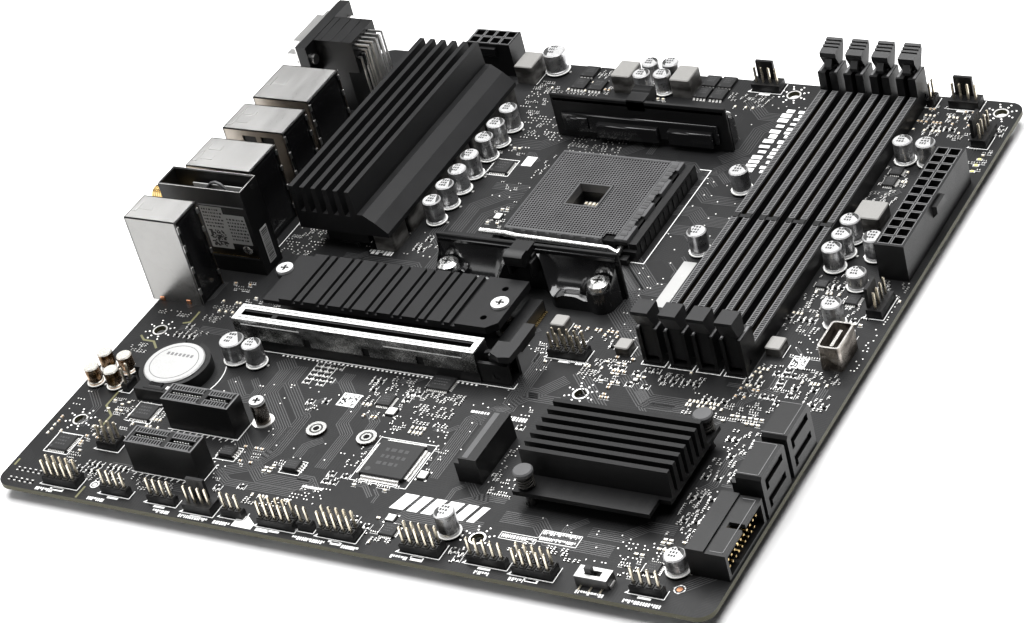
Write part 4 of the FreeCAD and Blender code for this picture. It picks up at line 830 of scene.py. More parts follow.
def chip_part(build, centre, size, height, body, along="x"):
    """Two-terminal chip part: a body between two tinned ends."""
    half = (size[0] / 2, size[1] / 2)
    axis = 0 if along == "x" else 1
    end = size[axis] * 0.24
    for low, high, look, shrink in ((-half[axis], -half[axis] + end, TIN, 0.0),
                                    (half[axis] - end, half[axis], TIN, 0.0),
                                    (-half[axis] + end, half[axis] - end, body, 0.02)):
        reach = [(centre[k] - half[k], centre[k] + half[k]) for k in (0, 1)]
        reach[axis] = (centre[axis] + low, centre[axis] + high)
        build.plate(reach[0], reach[1], (0.0, height - shrink), look)


add_socket_cover()
add_socket_details()


# ---------------------------------------------------------------- slots
def ladder(build, axis, along, across, h, pitch, rung):
    """Near-black plate of painted shade for a slot's groove, under two thin grey lines joined by rungs,
    painted sheen of the slot's black edges; along and across are pairs of lengths.
    """
    line_w = 0.24
    build.plate(*lay(axis, along, across), (h, h + 0.04), PAINTED_SHADE_DARK)
    for low in (across[0], across[1] - line_w):
        build.plate(*lay(axis, along, (low, low + line_w)), (h, h + 0.3), SHEEN_AND_PRINT_GREY)
    for k in range(int((along[1] - along[0]) / pitch) + 1):
        start = along[0] + k * pitch
        build.plate(*lay(axis, (start, start + rung), (across[0] + line_w, across[1] - line_w)),
                    (h, h + 0.3), SHEEN_AND_PRINT_GREY)


def add_memory_slot_tops():
    """Painted shade in the contact grooves along both rails of each memory slot, with grey lines and end pads
    of painted sheen.
    """
    build = Build("memory_slot_wells")
    pad = Build("memory_slot_ends")
    for x, y, _ in solids("dimm_slots"):
        mid = half_way(x)
        rail = 6.3
        key_y = 163.0
        for side in (-1, 1):
            across = sorted((mid + side * 1.05, mid + side * 3.05))
            for along in ((y[0] + 8.6, key_y - 1.2), (key_y + 1.2, y[1] - 8.6)):
                ladder(build, "y", along, across, rail, 0.85, 0.3)
            build.box(across, (key_y - 1.2, key_y + 1.2), (rail, rail + 0.3), SLOT_BLACK, edge=0.1)
        for end in (y[0], y[1] - 7.8):
            for side in (-1, 1):
                pad.box(sorted((mid + side * 2.3, mid + side * 3.25)), (end + 0.4, end + 7.4),
                        (13.0, 13.25), SHEEN_AND_PRINT_GREY, edge=0.1)
    build.done(slot="grey_plastic")
    pad.done()


def add_card_slot_tops():
    """Painted shade in the contact grooves, grey rims of painted sheen, and bright contacts of the short card
    slots.
    """
    build = Build("card_slot_wells")
    for x, y, h in solids("pcie_x1_slots"):
        mid = half_way(y)
        key_x = x[0] + 14.2
        for side in (-1, 1):
            across = sorted((mid + side * 1.05, mid + side * 3.3))
            for along in ((x[0] + 1.4, key_x - 0.9), (key_x + 0.9, x[1] - 1.2)):
                ladder(build, "x", along, across, h[1], 1.0, 0.24)
        for side in (-1, 1):
            edge = sorted((mid + side * 3.45, mid + side * 3.75))
            build.box((x[0], x[1]), edge, (h[1], h[1] + 0.3), SHEEN_AND_PRINT_GREY, edge=0.06)
        for end in (x[0], x[1] - 0.5):
            build.box((end, end + 0.5), (mid - 3.45, mid + 3.45), (h[1], h[1] + 0.3), SHEEN_AND_PRINT_GREY, edge=0.06)
        build.box((key_x - 0.9, key_x + 0.9), (mid - 3.3, mid + 3.3), (h[1], h[1] + 0.25), SLOT_BLACK, 0.08)
        for k in range(20):
            spot = x[0] + 2.0 + k
            if abs(spot - key_x) > 1.2:
                for lane in (mid - 0.62, mid + 0.35):
                    build.box((spot, spot + 0.42), (lane, lane + 0.27), (h[1] - 1.2, h[1] - 0.5), TIN)
    build.done(slot="grey_plastic")


add_memory_slot_tops()
add_card_slot_tops()


# ---------------------------------------------------------------- capacitors
def can_top_marks(build, centre, radius, top, rng):
    """Dark polarity mark between a chord and its arc, and three rows of plain ticks on a can's top."""
    turn = math.radians(rng.choice((20, 35, 50, -160, 200)))
    rim = [polar(centre, radius - 0.4, turn - 0.95 + 1.9 * k / 16) for k in range(17)]
    build.prism(rim, (top, top + 0.03), INK_AND_PAINTED_SHADE)
    for row in range(3):
        y = centre[1] + (row - 1) * radius * 0.42 + 0.1
        start = centre[0] - radius * 0.5
        for _ in range(3):
            width = rng.uniform(0.4, 0.75)
            build.box((start, start + width), (y, y + radius * 0.26), (top, top + 0.03), INK_AND_PAINTED_SHADE)
            start += width + rng.uniform(0.2, 0.32)


def can_leads(build, centre, radius):
    """Bright bottom ring and a pair of flat feet under each can."""
    build.ring(centre, radius - 0.05, radius + 0.5, (0.8, 0.98), PALE, sides=32)
    for side in (-1, 1):
        build.box(sorted((centre[0] + side * (radius + 0.2), centre[0] + side * (radius + 1.1))),
                  (centre[1] - 0.45, centre[1] + 0.45), (0.0, 0.25), TIN, edge=0.08)


def add_capacitor_details():
    rng = random.Random(4)
    marks = Build("can_marks")
    feet = Build("can_feet")
    for node in ("capacitor_cans", "audio_capacitors"):
        for x, y, h in solids(node):
            centre, radius = (half_way(x), half_way(y)), (x[1] - x[0]) / 2
            can_leads(feet, centre, radius)
            if node == "capacitor_cans":
                can_top_marks(marks, centre, radius, h[1], rng)
                for turn in (-30, 90, 210):
                    tip = polar(centre, radius * 0.86, math.radians(turn))
                    marks.line([centre, tip], 0.1, (h[1], h[1] + 0.02), CAN)
    marks.done(slot="can_aluminium")
    feet.done(slot="can_base")


add_capacitor_details()


# ---------------------------------------------------------------- what stands on the board
RAISED = 1.2
FOOTPRINTS = []
for node in sorted(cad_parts):
    if node not in ("pcb", "socket_backplate", "chipset_heatsink", "vrm_heatsink", "retention_brackets"):
        for x, y, h in solids(node):
            if -0.5 < h[0] < RAISED:
                FOOTPRINTS.append((x, y))
HOLES = [(10.16, 33.02), (10.16, 78.74), (10.16, 214.63), (165.1, 13.97), (165.1, 78.74),
         (165.1, 237.49), (237.49, 237.49)]
for hole in HOLES:
    FOOTPRINTS.append(((hole[0] - 5.4, hole[0] + 5.4), (hole[1] - 5.4, hole[1] + 5.4)))


def is_free(x, y, gap=0.15):
    """True where a part with this footprint would touch nothing that stands on the board."""
    if min(x[0], y[0]) < 0.8 or max(x[1], y[1]) > BOARD - 0.8:
        return False
    for other_x, other_y in FOOTPRINTS:
        if (x[0] - gap < other_x[1] and x[1] + gap > other_x[0]
                and y[0] - gap < other_y[1] and y[1] + gap > other_y[0]):
            return False
    return True


# ---------------------------------------------------------------- leads of the flat chips
def lead_row(build, axis, side, x, y, pitch, width, reach, lift, margin):
    """Gull-wing leads of one side of a chip. They point along axis, to side -1 or 1."""
    out, along = (x, y) if axis == "x" else (y, x)
    edge = out[0] if side < 0 else out[1]
    foot = sorted((edge + side * reach * 0.45, edge + side * reach))
    knee = sorted((edge - side * 0.02, edge + side * reach * 0.5))
    start, stop = along[0] + margin, along[1] - margin
    count = max(1, int(round((stop - start) / pitch)))
    for k in range(count + 1):
        mid = start + (stop - start) * k / count
        breadth = (mid - width / 2, mid + width / 2)
        build.plate(*lay(axis, foot, breadth), (0, 0.16), TIN)
        build.box(*lay(axis, knee, breadth), (0.05, lift), TIN)


def chip_marks(build, x, y, top, rng):
    """Pin-one dot and a few plain bars of print on a chip."""
    size = min(x[1] - x[0], y[1] - y[0])
    dot = size * 0.06
    build.lathe((x[0] + size * 0.14, y[0] + size * 0.14, top), [(dot, 0.0), (dot, 0.02)], MARK, sides=10)
    for row in range(3):
        level = y[1] - size * (0.3 + 0.2 * row)
        start = x[0] + size * 0.22
        while start < x[1] - size * 0.3:
            width = size * rng.uniform(0.05, 0.12)
            build.box((start, start + width), (level, level + size * 0.09), (top, top + 0.012), MARK)
            start += width + size * 0.05


# pitch, width, reach, height and end margin of the leads on each kind of chip
FINE_LEADS = (0.5, 0.3, 1.7, 0.75, 1.2)
TALL_LEADS = (1.1, 0.5, 1.5, 0.7, 0.5)
BROAD_LEADS = (1.27, 0.75, 0.95, 0.5, 0.6)
SMALL_LEADS = (0.65, 0.36, 0.75, 0.3, 0.7)


def add_chip_details():
    rng = random.Random(8)
    leads = Build("chip_leads")
    marks = Build("chip_marks")
    for x, y, h in solids("ic_packages"):
        width, depth, top = x[1] - x[0], y[1] - y[0], h[1]
        sides, sizes = ("x", "y"), SMALL_LEADS
        if width > 12:
            sizes = FINE_LEADS
        elif top > 1.5:
            sides, sizes = ("x",), TALL_LEADS
        elif abs(width - 5.0) < 0.1 and abs(depth - 6.0) < 0.1:
            sides, sizes = ("y",), BROAD_LEADS
        for axis in sides:
            for side in (-1, 1):
                lead_row(leads, axis, side, x, y, *sizes)
        chip_marks(marks, x, y, top, rng)
    leads.done(slot="tinned_pin")
    marks.done(slot="chip_resin")


add_chip_details()


# ---------------------------------------------------------------- copper runs
COPPER_H = (0.0, 0.06)
RUN_W = 0.3


def shifted(path, offset):
    """The same (x, y) path moved sideways by an offset, with its bends kept parallel."""
    return [tuple(here + normal * offset * stretch) for here, normal, stretch in sideways(path, 0.5)]


def bundle(build, path, count, pitch):
    for k in range(count):
        build.line(shifted(path, (k - (count - 1) / 2) * pitch), RUN_W, COPPER_H, TRACE)


# bundles of parallel runs: path, number of runs, pitch
BUNDLES = [
    ([(148, 138), (158, 128), (158, 118), (176, 100)], 9, 0.8),
    ([(150, 170), (160, 170), (164, 166), (176, 166)], 8, 0.7),
    ([(150, 181), (157, 181), (161, 177), (176, 177)], 6, 0.8),
    ([(156, 160), (163, 160), (168, 155), (176, 155)], 7, 0.75),
    ([(156, 198), (162, 204), (162, 216), (172, 226)], 6, 0.9),
    ([(157, 192), (164, 199), (176, 199)], 5, 0.8),
    ([(150, 143), (163, 130), (176, 130)], 10, 0.7),
    ([(146, 138), (166, 118), (166, 108)], 7, 0.85),
    ([(84, 146), (84, 160), (92, 168), (98, 168)], 6, 0.9),
    ([(90, 146), (90, 156), (96, 162), (98, 162)], 4, 0.9),
    ([(85, 172), (98, 172)], 5, 0.8),
    ([(138, 34), (138, 60), (146, 68), (146, 98)], 8, 0.72),
    ([(143, 66), (150, 74), (160, 74)], 5, 0.8),
    ([(136, 86), (146, 76), (152, 76), (158, 84)], 6, 0.8),
    ([(62, 74), (66, 70), (66, 58), (80, 44), (80, 30)], 8, 0.75),
    ([(70, 72), (70, 64), (84, 50), (84, 34), (80, 26), (72, 22)], 6, 0.8),
    ([(88, 72), (88, 68), (98, 58), (98, 50), (102, 46), (102, 30)], 6, 0.7),
    ([(96, 42), (92, 38), (92, 33)], 5, 0.7),
    ([(104, 57), (108, 53), (108, 49)], 5, 0.7),
    ([(66, 40), (72, 34), (86, 22), (104, 22)], 7, 0.72),
    ([(70, 22), (76, 18), (100, 18)], 5, 0.7),
    ([(34, 16), (46, 16), (50, 12), (70, 12)], 5, 0.7),
    ([(6, 62), (6, 46), (12, 40), (12, 30)], 4, 0.8),
    ([(50, 62), (58, 54), (66, 54)], 6, 0.72),
    ([(24, 82), (34, 82), (44, 74)], 5, 0.7),
    ([(134, 12), (140, 18), (164, 18)], 7, 0.72),
    ([(136, 24), (150, 24), (160, 30)], 6, 0.75),
    ([(168, 24), (180, 24), (186, 18), (206, 18)], 7, 0.72),
    ([(196, 24), (206, 24), (212, 30), (220, 30)], 6, 0.72),
    ([(160, 88), (172, 76), (176, 72)], 6, 0.8),
    ([(176, 90), (186, 80), (200, 80)], 9, 0.75),
    ([(182, 84), (188, 78), (196, 78)], 4, 0.8),
    ([(218, 88), (222, 92), (222, 100)], 6, 0.8),
    ([(219, 46), (222, 50), (222, 62)], 5, 0.7),
    ([(211, 96), (211, 118)], 4, 0.75),
    ([(220, 118), (220, 128)], 5, 0.75),
    ([(152, 232), (160, 224), (172, 224)], 6, 0.8),
    ([(78, 196), (90, 196), (98, 204), (98, 214)], 6, 0.9),
    ([(100, 196), (120, 196), (126, 202)], 6, 0.8),
    ([(78, 150), (78, 144), (86, 136), (86, 126)], 6, 0.8),
    ([(60, 127), (80, 127), (84, 123)], 4, 0.8),
    ([(12, 92), (18, 98), (18, 106)], 5, 0.7),
    ([(232, 84), (236, 88), (236, 96)], 5, 0.7),
    ([(230, 8), (238, 16), (240, 30)], 5, 0.8),
    ([(146, 40), (156, 30), (166, 30)], 4, 0.7),
]
# bare gaps in the copper that show an olive line
OLIVE_RUNS = [[(1.5, 9.0), (1.5, 12.0)], [(31.5, 0.4), (31.5, 5.6)],
              [(18.5, 90.0), (18.5, 84.5), (16.0, 83.5)],
              [(5.0, 75.0), (7.5, 73.0), (11.5, 73.0), (14.5, 70.0)],
              [(14.8, 51.0), (14.8, 41.0), (19.5, 37.0), (19.5, 31.0)]]


def add_copper():
    build = Build("copper_runs")
    for path, count, pitch in BUNDLES:
        bundle(build, path, count, pitch)
    rng = random.Random(21)
    for _ in range(90):
        x, y = rng.uniform(4, 238), rng.uniform(18, 238)
        sweep = rng.choice((-1, 1)) * rng.uniform(1.5, 5.0)
        run = rng.uniform(2.0, 7.0)
        if rng.random() < 0.5:
            path = [(x, y), (x + run, y), (x + run + abs(sweep), y + sweep)]
        else:
            path = [(x, y), (x, y + run), (x + sweep, y + run + abs(sweep))]
        if all(4 < px < 238 and 4 < py < 238 for px, py in path):
            bundle(build, path, rng.choice((2, 3, 4)), 0.66)
    for path in OLIVE_RUNS:
        build.line(path, 0.75, (0.0, 0.02), OLIVE)
    build.done(slot="board_laminate")


add_copper()


# ---------------------------------------------------------------- white legend
LEGEND_H = (0.0, 0.085)
LEGEND_W = 0.28


def legend_path(build, path, width=LEGEND_W):
    build.line(path, width, LEGEND_H, SILK)


def legend_frame(build, x, y, width=LEGEND_W):
    for level in y:
        legend_path(build, [(x[0], level), (x[1], level)], width)
    for spot in x:
        legend_path(build, [(spot, y[0] - width / 2), (spot, y[1] + width / 2)], width)


def legend_bars(build, x, y, rng):
    """Row of plain ticks that stands in for printed words."""
    depth = y[1] - y[0]
    spot = x[0]
    while spot < x[1] - 0.3:
        tick = min(x[1] - spot, depth * rng.uniform(0.2, 0.6))
        lower = y[0] if rng.random() < 0.75 else y[0] + depth * 0.45
        build.plate((spot, spot + tick), (lower, y[1]), LEGEND_H, SILK)
        spot += tick + depth * rng.uniform(0.14, 0.26)


def legend_grid(build, x, y, count, rng):
    """Square block of random dots, like a scanning code that holds nothing."""
    step_x, step_y = (x[1] - x[0]) / count, (y[1] - y[0]) / count
    for col in range(count):
        for row in range(count):
            edge = col in (0, count - 1) or row in (0, count - 1)
            if edge or rng.random() < 0.55:
                build.plate((x[0] + step_x * col, x[0] + step_x * (col + 0.96)),
                          (y[0] + step_y * row, y[0] + step_y * (row + 0.96)), LEGEND_H, SILK)


SOLID_BARS = [((20.5, 25.5), (1.5, 2.7)), ((97.0, 101.5), (0.9, 2.2)), ((123.0, 126.5), (1.2, 2.5)),
              ((150.0, 154.0), (1.0, 2.6)), ((187.0, 191.0), (1.2, 2.4)),
              ((88.6, 92.4), (184.2, 189.4))]
CODE_BLOCKS = [((91.0, 97.5), (57.5, 63.5)), ((221.5, 226.5), (103.0, 108.5))]
TEXT_ROWS = [((60.0, 69.5), (129.6, 131.8)), ((15.5, 22.0), (0.6, 1.9)), ((35.5, 42.0), (0.6, 1.9)),
             ((60.0, 66.0), (0.6, 1.9)), ((69.5, 80.0), (0.6, 1.9)), ((82.0, 88.0), (0.6, 1.9)),
             ((110.0, 121.0), (0.6, 1.9)), ((127.0, 133.0), (0.6, 1.9)), ((143.5, 149.5), (0.6, 1.9)),
             ((171.0, 176.0), (0.6, 1.9)), ((182.0, 187.0), (0.6, 1.9)), ((203.0, 211.5), (0.6, 1.9)),
             ((217.5, 229.0), (0.6, 1.9)), ((154.5, 161.0), (91.0, 92.4)), ((135.5, 143.0), (62.8, 64.6)),
             ((148.5, 155.0), (62.8, 64.6)), ((101.0, 108.5), (21.2, 22.2)), ((183.0, 194.5), (20.0, 21.3)),
             ((183.0, 194.5), (17.7, 18.9)), ((171.5, 182.0), (16.2, 17.6)), ((25.5, 32.0), (22.6, 23.6))]


def large_emblem(build):
    """Slanted stripes: a plain mark on the bare area by the lower edge."""
    y = (19.4, 26.2)
    lean = 2.0
    spot = 132.5
    for width in (4.6, 3.4, 3.4, 4.6, 3.4, 2.4):
        outline = [(spot, y[0]), (spot + width, y[0]), (spot + width + lean, y[1]), (spot + lean, y[1])]
        build.prism(outline, LEGEND_H, SILK)
        spot += width + 1.3


def side_ticks(build, rng):
    """Two columns of plain blocks beside the memory slots."""
    for x, tall in (((165.8, 169.4), 2.9), ((171.0, 173.4), 2.4)):
        spot = 193.5
        while spot < 228.0:
            block = rng.uniform(0.45, 0.75) * tall
            inset = rng.choice((0.0, 0.0, 0.9))
            build.plate((x[0] + inset, x[1]), (spot, spot + block), LEGEND_H, SILK)
            spot += block + rng.choice((0.7, 0.7, 1.5))


def header_legend(build, rng):
    """L-shaped outlines and pin-one triangles beside the pin headers."""
    for x, y, _ in solids("header_bases"):
        if x[1] - x[0] < 1.5:
            continue
        left, right, low, high = x[0] - 0.55, x[1] + 0.55, y[0] - 0.55, y[1] + 0.55
        for path in ([(left, low), (right, low)], [(right, low), (right, high)]):
            legend_path(build, path, 0.24)
        if rng.random() < 0.6:
            legend_path(build, [(left, low), (left, high)], 0.24)
        build.prism([(left - 0.9, low), (left - 0.2, low), (left - 0.2, low + 0.9)], LEGEND_H, SILK)
        if right - left > 9 and low > 2.6:
            build.plate((half_way(x) - 2.0, half_way(x) + 2.0), (low - 1.2, low - 0.4), LEGEND_H, SILK)


def add_legend():
    """Outlines, ticks and blocks printed on the board. None of them spells anything."""
    rng = random.Random(33)
    build = Build("white_legend")
    for x, y in SOLID_BARS:
        build.plate(x, y, LEGEND_H, SILK)
    build.plate((168.0, 172.5), (122.0, 145.0), LEGEND_H, LABEL)
    build.prism([(88.5, 1.0), (95.5, 1.0), (95.5, 3.2), (92.0, 5.8), (88.5, 5.8)], LEGEND_H, SILK)
    for x, y in CODE_BLOCKS:
        legend_grid(build, x, y, 12, rng)
    for x, y in TEXT_ROWS:
        legend_bars(build, x, y, rng)
    large_emblem(build)
    side_ticks(build, rng)
    header_legend(build, rng)
    legend_path(build, [(147.0, 141.4), (155.6, 141.4), (155.6, 192.0), (151.5, 192.0)])
    legend_path(build, [(26.5, 124.5), (26.5, 141.5)], 0.22)
    for slot_x, _, _ in solids("dimm_slots"):
        left, right = slot_x[0] - 0.5, slot_x[1] + 0.5
        legend_path(build, [(left, 98.2), (left, 95.4), (right, 95.4), (right, 98.2)])
    cell = middle("coin_cell")
    legend_path(build, [polar(cell, 15.6, math.radians(-22 + 7 * k)) for k in range(11)])
    for x, y in (((182.6, 195.0), (17.0, 21.6)), ((171.0, 182.6), (15.6, 18.2))):
        legend_frame(build, x, y, 0.2)
    for slot_x, slot_y, _ in solids("pcie_x1_slots"):
        legend_path(build, [(slot_x[0] - 0.6, slot_y[0] - 0.6), (slot_x[1] + 0.6, slot_y[0] - 0.6),
                            (slot_x[1] + 0.6, slot_y[1] + 0.6)], 0.24)
    x16_x, x16_y, _ = span("pcie_x16_slot")
    legend_path(build, [(x16_x[0] + 8, x16_y[0] - 0.7), (x16_x[1] + 1.2, x16_y[0] - 0.7),
                        (x16_x[1] + 1.2, x16_y[0] + 2.0)], 0.24)
    for x, y, _ in solids("sata_ports"):
        legend_path(build, [(x[0] - 0.6, y[0] + 1.0), (x[0] - 0.6, y[1] - 1.0)], 0.22)
    for x, y, h in solids("ic_packages"):
        if y[1] - y[0] > 6.5 or h[1] > 1.5:
            grow = 2.2 if x[1] - x[0] > 12 else 1.0
            legend_frame(build, (x[0] - grow, x[1] + grow), (y[0] - grow, y[1] + grow), 0.22)
    for x, y, h in solids("chokes"):
        if y[0] > 226 or h[1] < 3.5:
            legend_path(build, [(x[1] + 0.5, y[0]), (x[1] + 0.5, y[1])], 0.22)
    for k in range(45):
        spot = x16_x[0] + 17.5 + 1.6 * k
        build.plate((spot - 0.34, spot + 0.34), (x16_y[0] - 1.75, x16_y[0] - 1.15), LEGEND_H, SILK)
    for slot_x, slot_y, _ in solids("pcie_x1_slots"):
        for k in range(11):
            spot = slot_x[0] + 1.0 + 2.3 * k
            build.line([(spot, slot_y[0] - 1.9), (spot + 0.5, slot_y[0] - 0.8)], 0.3, LEGEND_H, SILK)
    build.done(slot="board_laminate")


add_legend()


# ---------------------------------------------------------------- mounting hole rings and test points
def add_pads():
    build = Build("solder_pads")
    for x, y in HOLES:
        build.ring((x, y), 2.02, 2.55, (0.0, 0.05), TIN, sides=32)
        for k in range(8):
            angle = 2 * math.pi * (k + 0.5) / 8
            for radius, size in ((3.5, 0.42), (4.9, 0.36)):
                spot = (x + radius * math.cos(angle), y + radius * math.sin(angle), 0.0)
                build.lathe(spot, [(size, 0.0), (size * 0.85, 0.16), (size * 0.3, 0.26), (0.0, 0.28)],
                            TIN, sides=10)
    for centre, outer in (((34.2, 7.0), 1.5), ((231.0, 9.0), 1.7)):
        build.ring(centre, outer - 0.35, outer, (0.0, 0.06), SILK, sides=24)
        build.lathe(centre + (0.0,), [(outer * 0.55, 0.0), (outer * 0.5, 0.08), (0.0, 0.1)],
                    COPPER if centre[0] > 200 else TIN, sides=16)
    for x in (9.0, 12.6, 5.4):
        build.ring((x, 212.0 - x * 0.4), 0.5, 0.9, (0.0, 0.05), TIN, sides=14)
    build.done(slot="tinned_pin")


add_pads()


# ---------------------------------------------------------------- small parts
# areas of small parts: x range, y range, kinds, how full, direction of each part
# kinds: r dark resistor, c tan capacitor, w pale capacitor, v bare via, n small black body with leads
AREAS = [
    ((4, 17), (86.6, 89.8), "vr", 0.8, "y"), ((22, 32), (86, 97), "rrvw", 0.75, "y"),
    ((22, 31), (103, 108), "rcc", 0.7, "x"), ((17, 28.5), (77, 83), "rrn", 0.7, "y"),
    ((5, 12.5), (67, 71), "r", 0.9, "y"), ((16, 24), (38, 47), "rwr", 0.6, "x"),
    ((24, 40), (34, 47), "rrvw", 0.6, "y"), ((3, 9), (24, 34), "wcw", 0.75, "y"),
    ((9, 21), (26.6, 31), "wr", 0.75, "y"), ((17, 23), (14.5, 31), "wcr", 0.7, "x"),
    ((24, 42), (8.4, 16), "rrwn", 0.75, "y"), ((42, 62), (8.4, 14), "rwrn", 0.6, "y"),
    ((74.5, 85.5), (65, 75.5), "n", 0.95, "x"), ((81, 86.5), (53, 59), "nr", 0.8, "x"),
    ((86.5, 90), (57.5, 62.5), "n", 0.8, "y"), ((96.8, 101), (66, 73), "nr", 0.7, "y"),
    ((99.5, 103.5), (59, 66), "rw", 0.7, "y"), ((103.5, 112), (66, 74), "vr", 0.75, "y"),
    ((101, 108.5), (54, 59), "rcr", 0.6, "y"), ((111.5, 118.5), (61.5, 70), "nrr", 0.75, "x"),
    ((118, 131), (65.5, 69.8), "r", 0.85, "y"), ((118, 131), (59, 63.5), "r", 0.85, "y"),
    ((119.5, 127.5), (50.4, 53.4), "w", 0.95, "y"), ((113, 119), (46.8, 57.5), "rv", 0.6, "x"),
    ((120, 132.5), (53.8, 58.4), "rv", 0.6, "y"), ((128, 134), (48.5, 56), "v", 0.5, "x"),
    ((72.6, 82), (25.5, 33.5), "rrc", 0.55, "x"), ((84.5, 89.6), (24.5, 30), "rw", 0.6, "x"),
    ((66, 86), (11.6, 19), "rrn", 0.5, "x"), ((86, 101), (10.6, 15.4), "rwr", 0.7, "y"),
    ((99, 111), (15.2, 23), "rrv", 0.6, "y"), ((106, 114), (24.6, 30), "nr", 0.7, "x"),
    ((109, 114), (32, 44.5), "vr", 0.45, "y"), ((116, 132), (25.4, 28), "rw", 0.6, "x"),
    ((133.4, 138.6), (36.6, 46.5), "rvr", 0.6, "x"), ((124, 135), (7.5, 15), "rwn", 0.6, "x"),
    ((134, 142), (4.0, 7.2), "rw", 0.6, "y"), ((160, 166), (3, 8.6), "nr", 0.6, "x"),
    ((150, 156), (64.5, 72), "vr", 0.35, "x"), ((148, 157), (56.6, 62), "nrw", 0.6, "x"),
    ((156.2, 159.4), (36, 53.5), "rv", 0.7, "y"), ((158.5, 166.5), (29.5, 40), "rrvn", 0.65, "x"),
    ((141, 149), (86, 98), "rrwv", 0.6, "x"), ((148.5, 166), (100.5, 108.5), "wcrn", 0.55, "y"),
    ((160, 169), (85, 96), "rrvw", 0.65, "y"), ((166, 175), (78, 97), "cwrn", 0.75, "x"),
    ((177, 185), (85, 95), "nw", 0.55, "x"), ((186, 201), (87.6, 95), "nrrw", 0.75, "y"),
    ((199, 212), (77, 88.5), "rwvn", 0.6, "y"), ((210.5, 226), (76, 85), "rrwn", 0.7, "x"),
    ((217.5, 230), (52, 74), "rrvn", 0.6, "y"), ((217.5, 230.8), (28, 48), "rrvn", 0.6, "y"),
    ((218, 231), (16.8, 27), "rwv", 0.5, "x"), ((208.5, 217), (9.6, 24), "rrvw", 0.6, "x"),
    ((196, 209), (10, 14.6), "rv", 0.35, "y"), ((176, 196), (9.6, 15.4), "rvr", 0.5, "y"),
    ((211.5, 219), (84, 106), "cwrn", 0.65, "y"), ((219, 231), (84, 103), "rrn", 0.5, "x"),
    ((227, 241), (86, 104), "rrwn", 0.65, "y"), ((220, 232), (108, 118), "rv", 0.4, "x"),
    ((27, 42), (124.5, 141), "vrv", 0.6, "y"), ((57, 83), (131.5, 146), "rvn", 0.3, "y"),
    ((70.5, 80), (213, 232), "vrr", 0.55, "x"), ((77, 96), (199.5, 212.5), "vvr", 0.7, "y"),
    ((76, 92), (226.5, 230), "rwr", 0.7, "y"), ((77, 87), (190, 195), "rwv", 0.7, "x"),
    ((86.5, 99), (164, 174), "rv", 0.25, "x"), ((92.5, 99), (149.5, 161), "wrr", 0.55, "x"),
    ((95.5, 99.5), (178, 191), "rv", 0.5, "y"), ((100, 121), (193.5, 203.4), "vvr", 0.75, "y"),
    ((90.5, 100), (226.5, 243), "rrwc", 0.6, "y"), ((109.5, 122.5), (226.5, 229.5), "rw", 0.5, "x"),
    ((143.5, 160), (227, 236.5), "rrwn", 0.5, "y"), ((131, 146), (242, 243.2), "r", 0.5, "x"),
    ((160, 174), (229, 236), "v", 0.35, "x"), ((209.5, 231), (222, 238), "rrwcn", 0.7, "y"),
    ((211, 222), (180.5, 205), "rrcwn", 0.7, "y"), ((209.8, 232), (119, 148), "rrwn", 0.65, "y"),
    ((229, 237.5), (119, 129), "rrwn", 0.7, "x"), ((229, 243), (136, 147.5), "rrwn", 0.6, "y"),
    ((223, 232), (158, 170), "rv", 0.4, "x"), ((236, 243), (198.5, 219), "rrw", 0.5, "x"),
    ((227, 243), (221, 236), "rrvn", 0.55, "x"), ((240, 243), (104, 200), "v", 0.5, "y"),
    ((64, 72), (20, 27), "rv", 0.5, "x"), ((23, 42), (27, 33.5), "rv", 0.4, "x"),
    ((44, 66), (44.5, 47), "rvw", 0.5, "x"), ((60, 136), (85.5, 89.5), "rvn", 0.35, "x"),
    ((30, 46), (92, 100), "rrwv", 0.5, "x"), ((2.5, 6.5), (34, 66), "v", 0.4, "y"),
    ((140, 170), (210, 226), "v", 0.06, "x"), ((156, 176), (104, 190), "v", 0.06, "x"),
    ((178, 210), (17, 26), "v", 0.08, "x"), ((50, 100), (54, 64), "v", 0.08, "x"),
    ((62, 115), (31, 44), "v", 0.1, "y"), ((133, 146), (46, 100), "v", 0.1, "y"),
]
PART_SIZES = {"r": (1.0, 0.55, 0.36), "c": (1.25, 0.7, 0.6), "w": (1.2, 0.65, 0.55), "n": (1.9, 1.3, 0.7)}


def three_leg_part(build, x, y, height, along):
    """Small black body with three bright feet inside a thin white frame."""
    long_x = along == "x"
    run, width = (x, y) if long_x else (y, x)
    feet = [((run[0], run[0] + 0.6), (width[0] - 0.45, width[0] + 0.3)),
            ((run[1] - 0.6, run[1]), (width[0] - 0.45, width[0] + 0.3)),
            ((half_way(run) - 0.3, half_way(run) + 0.3), (width[1] - 0.3, width[1] + 0.45))]
    body = ((run[0] + 0.2, run[1] - 0.2), (width[0] + 0.2, width[1] - 0.2))
    if not long_x:
        feet = [(b, a) for a, b in feet]
        body = (body[1], body[0])
    build.box(body[0], body[1], (0.05, height), RESIN, edge=0.1)
    for foot_x, foot_y in feet:
        build.plate(foot_x, foot_y, (0.0, 0.34), TIN)
    for edge_x in (x[0] - 0.4, x[1] + 0.26):
        build.plate((edge_x, edge_x + 0.14), (y[0] - 0.5, y[1] + 0.5), LEGEND_H, SILK)


CROWDING = 0.74    # share of the table's fill that is placed


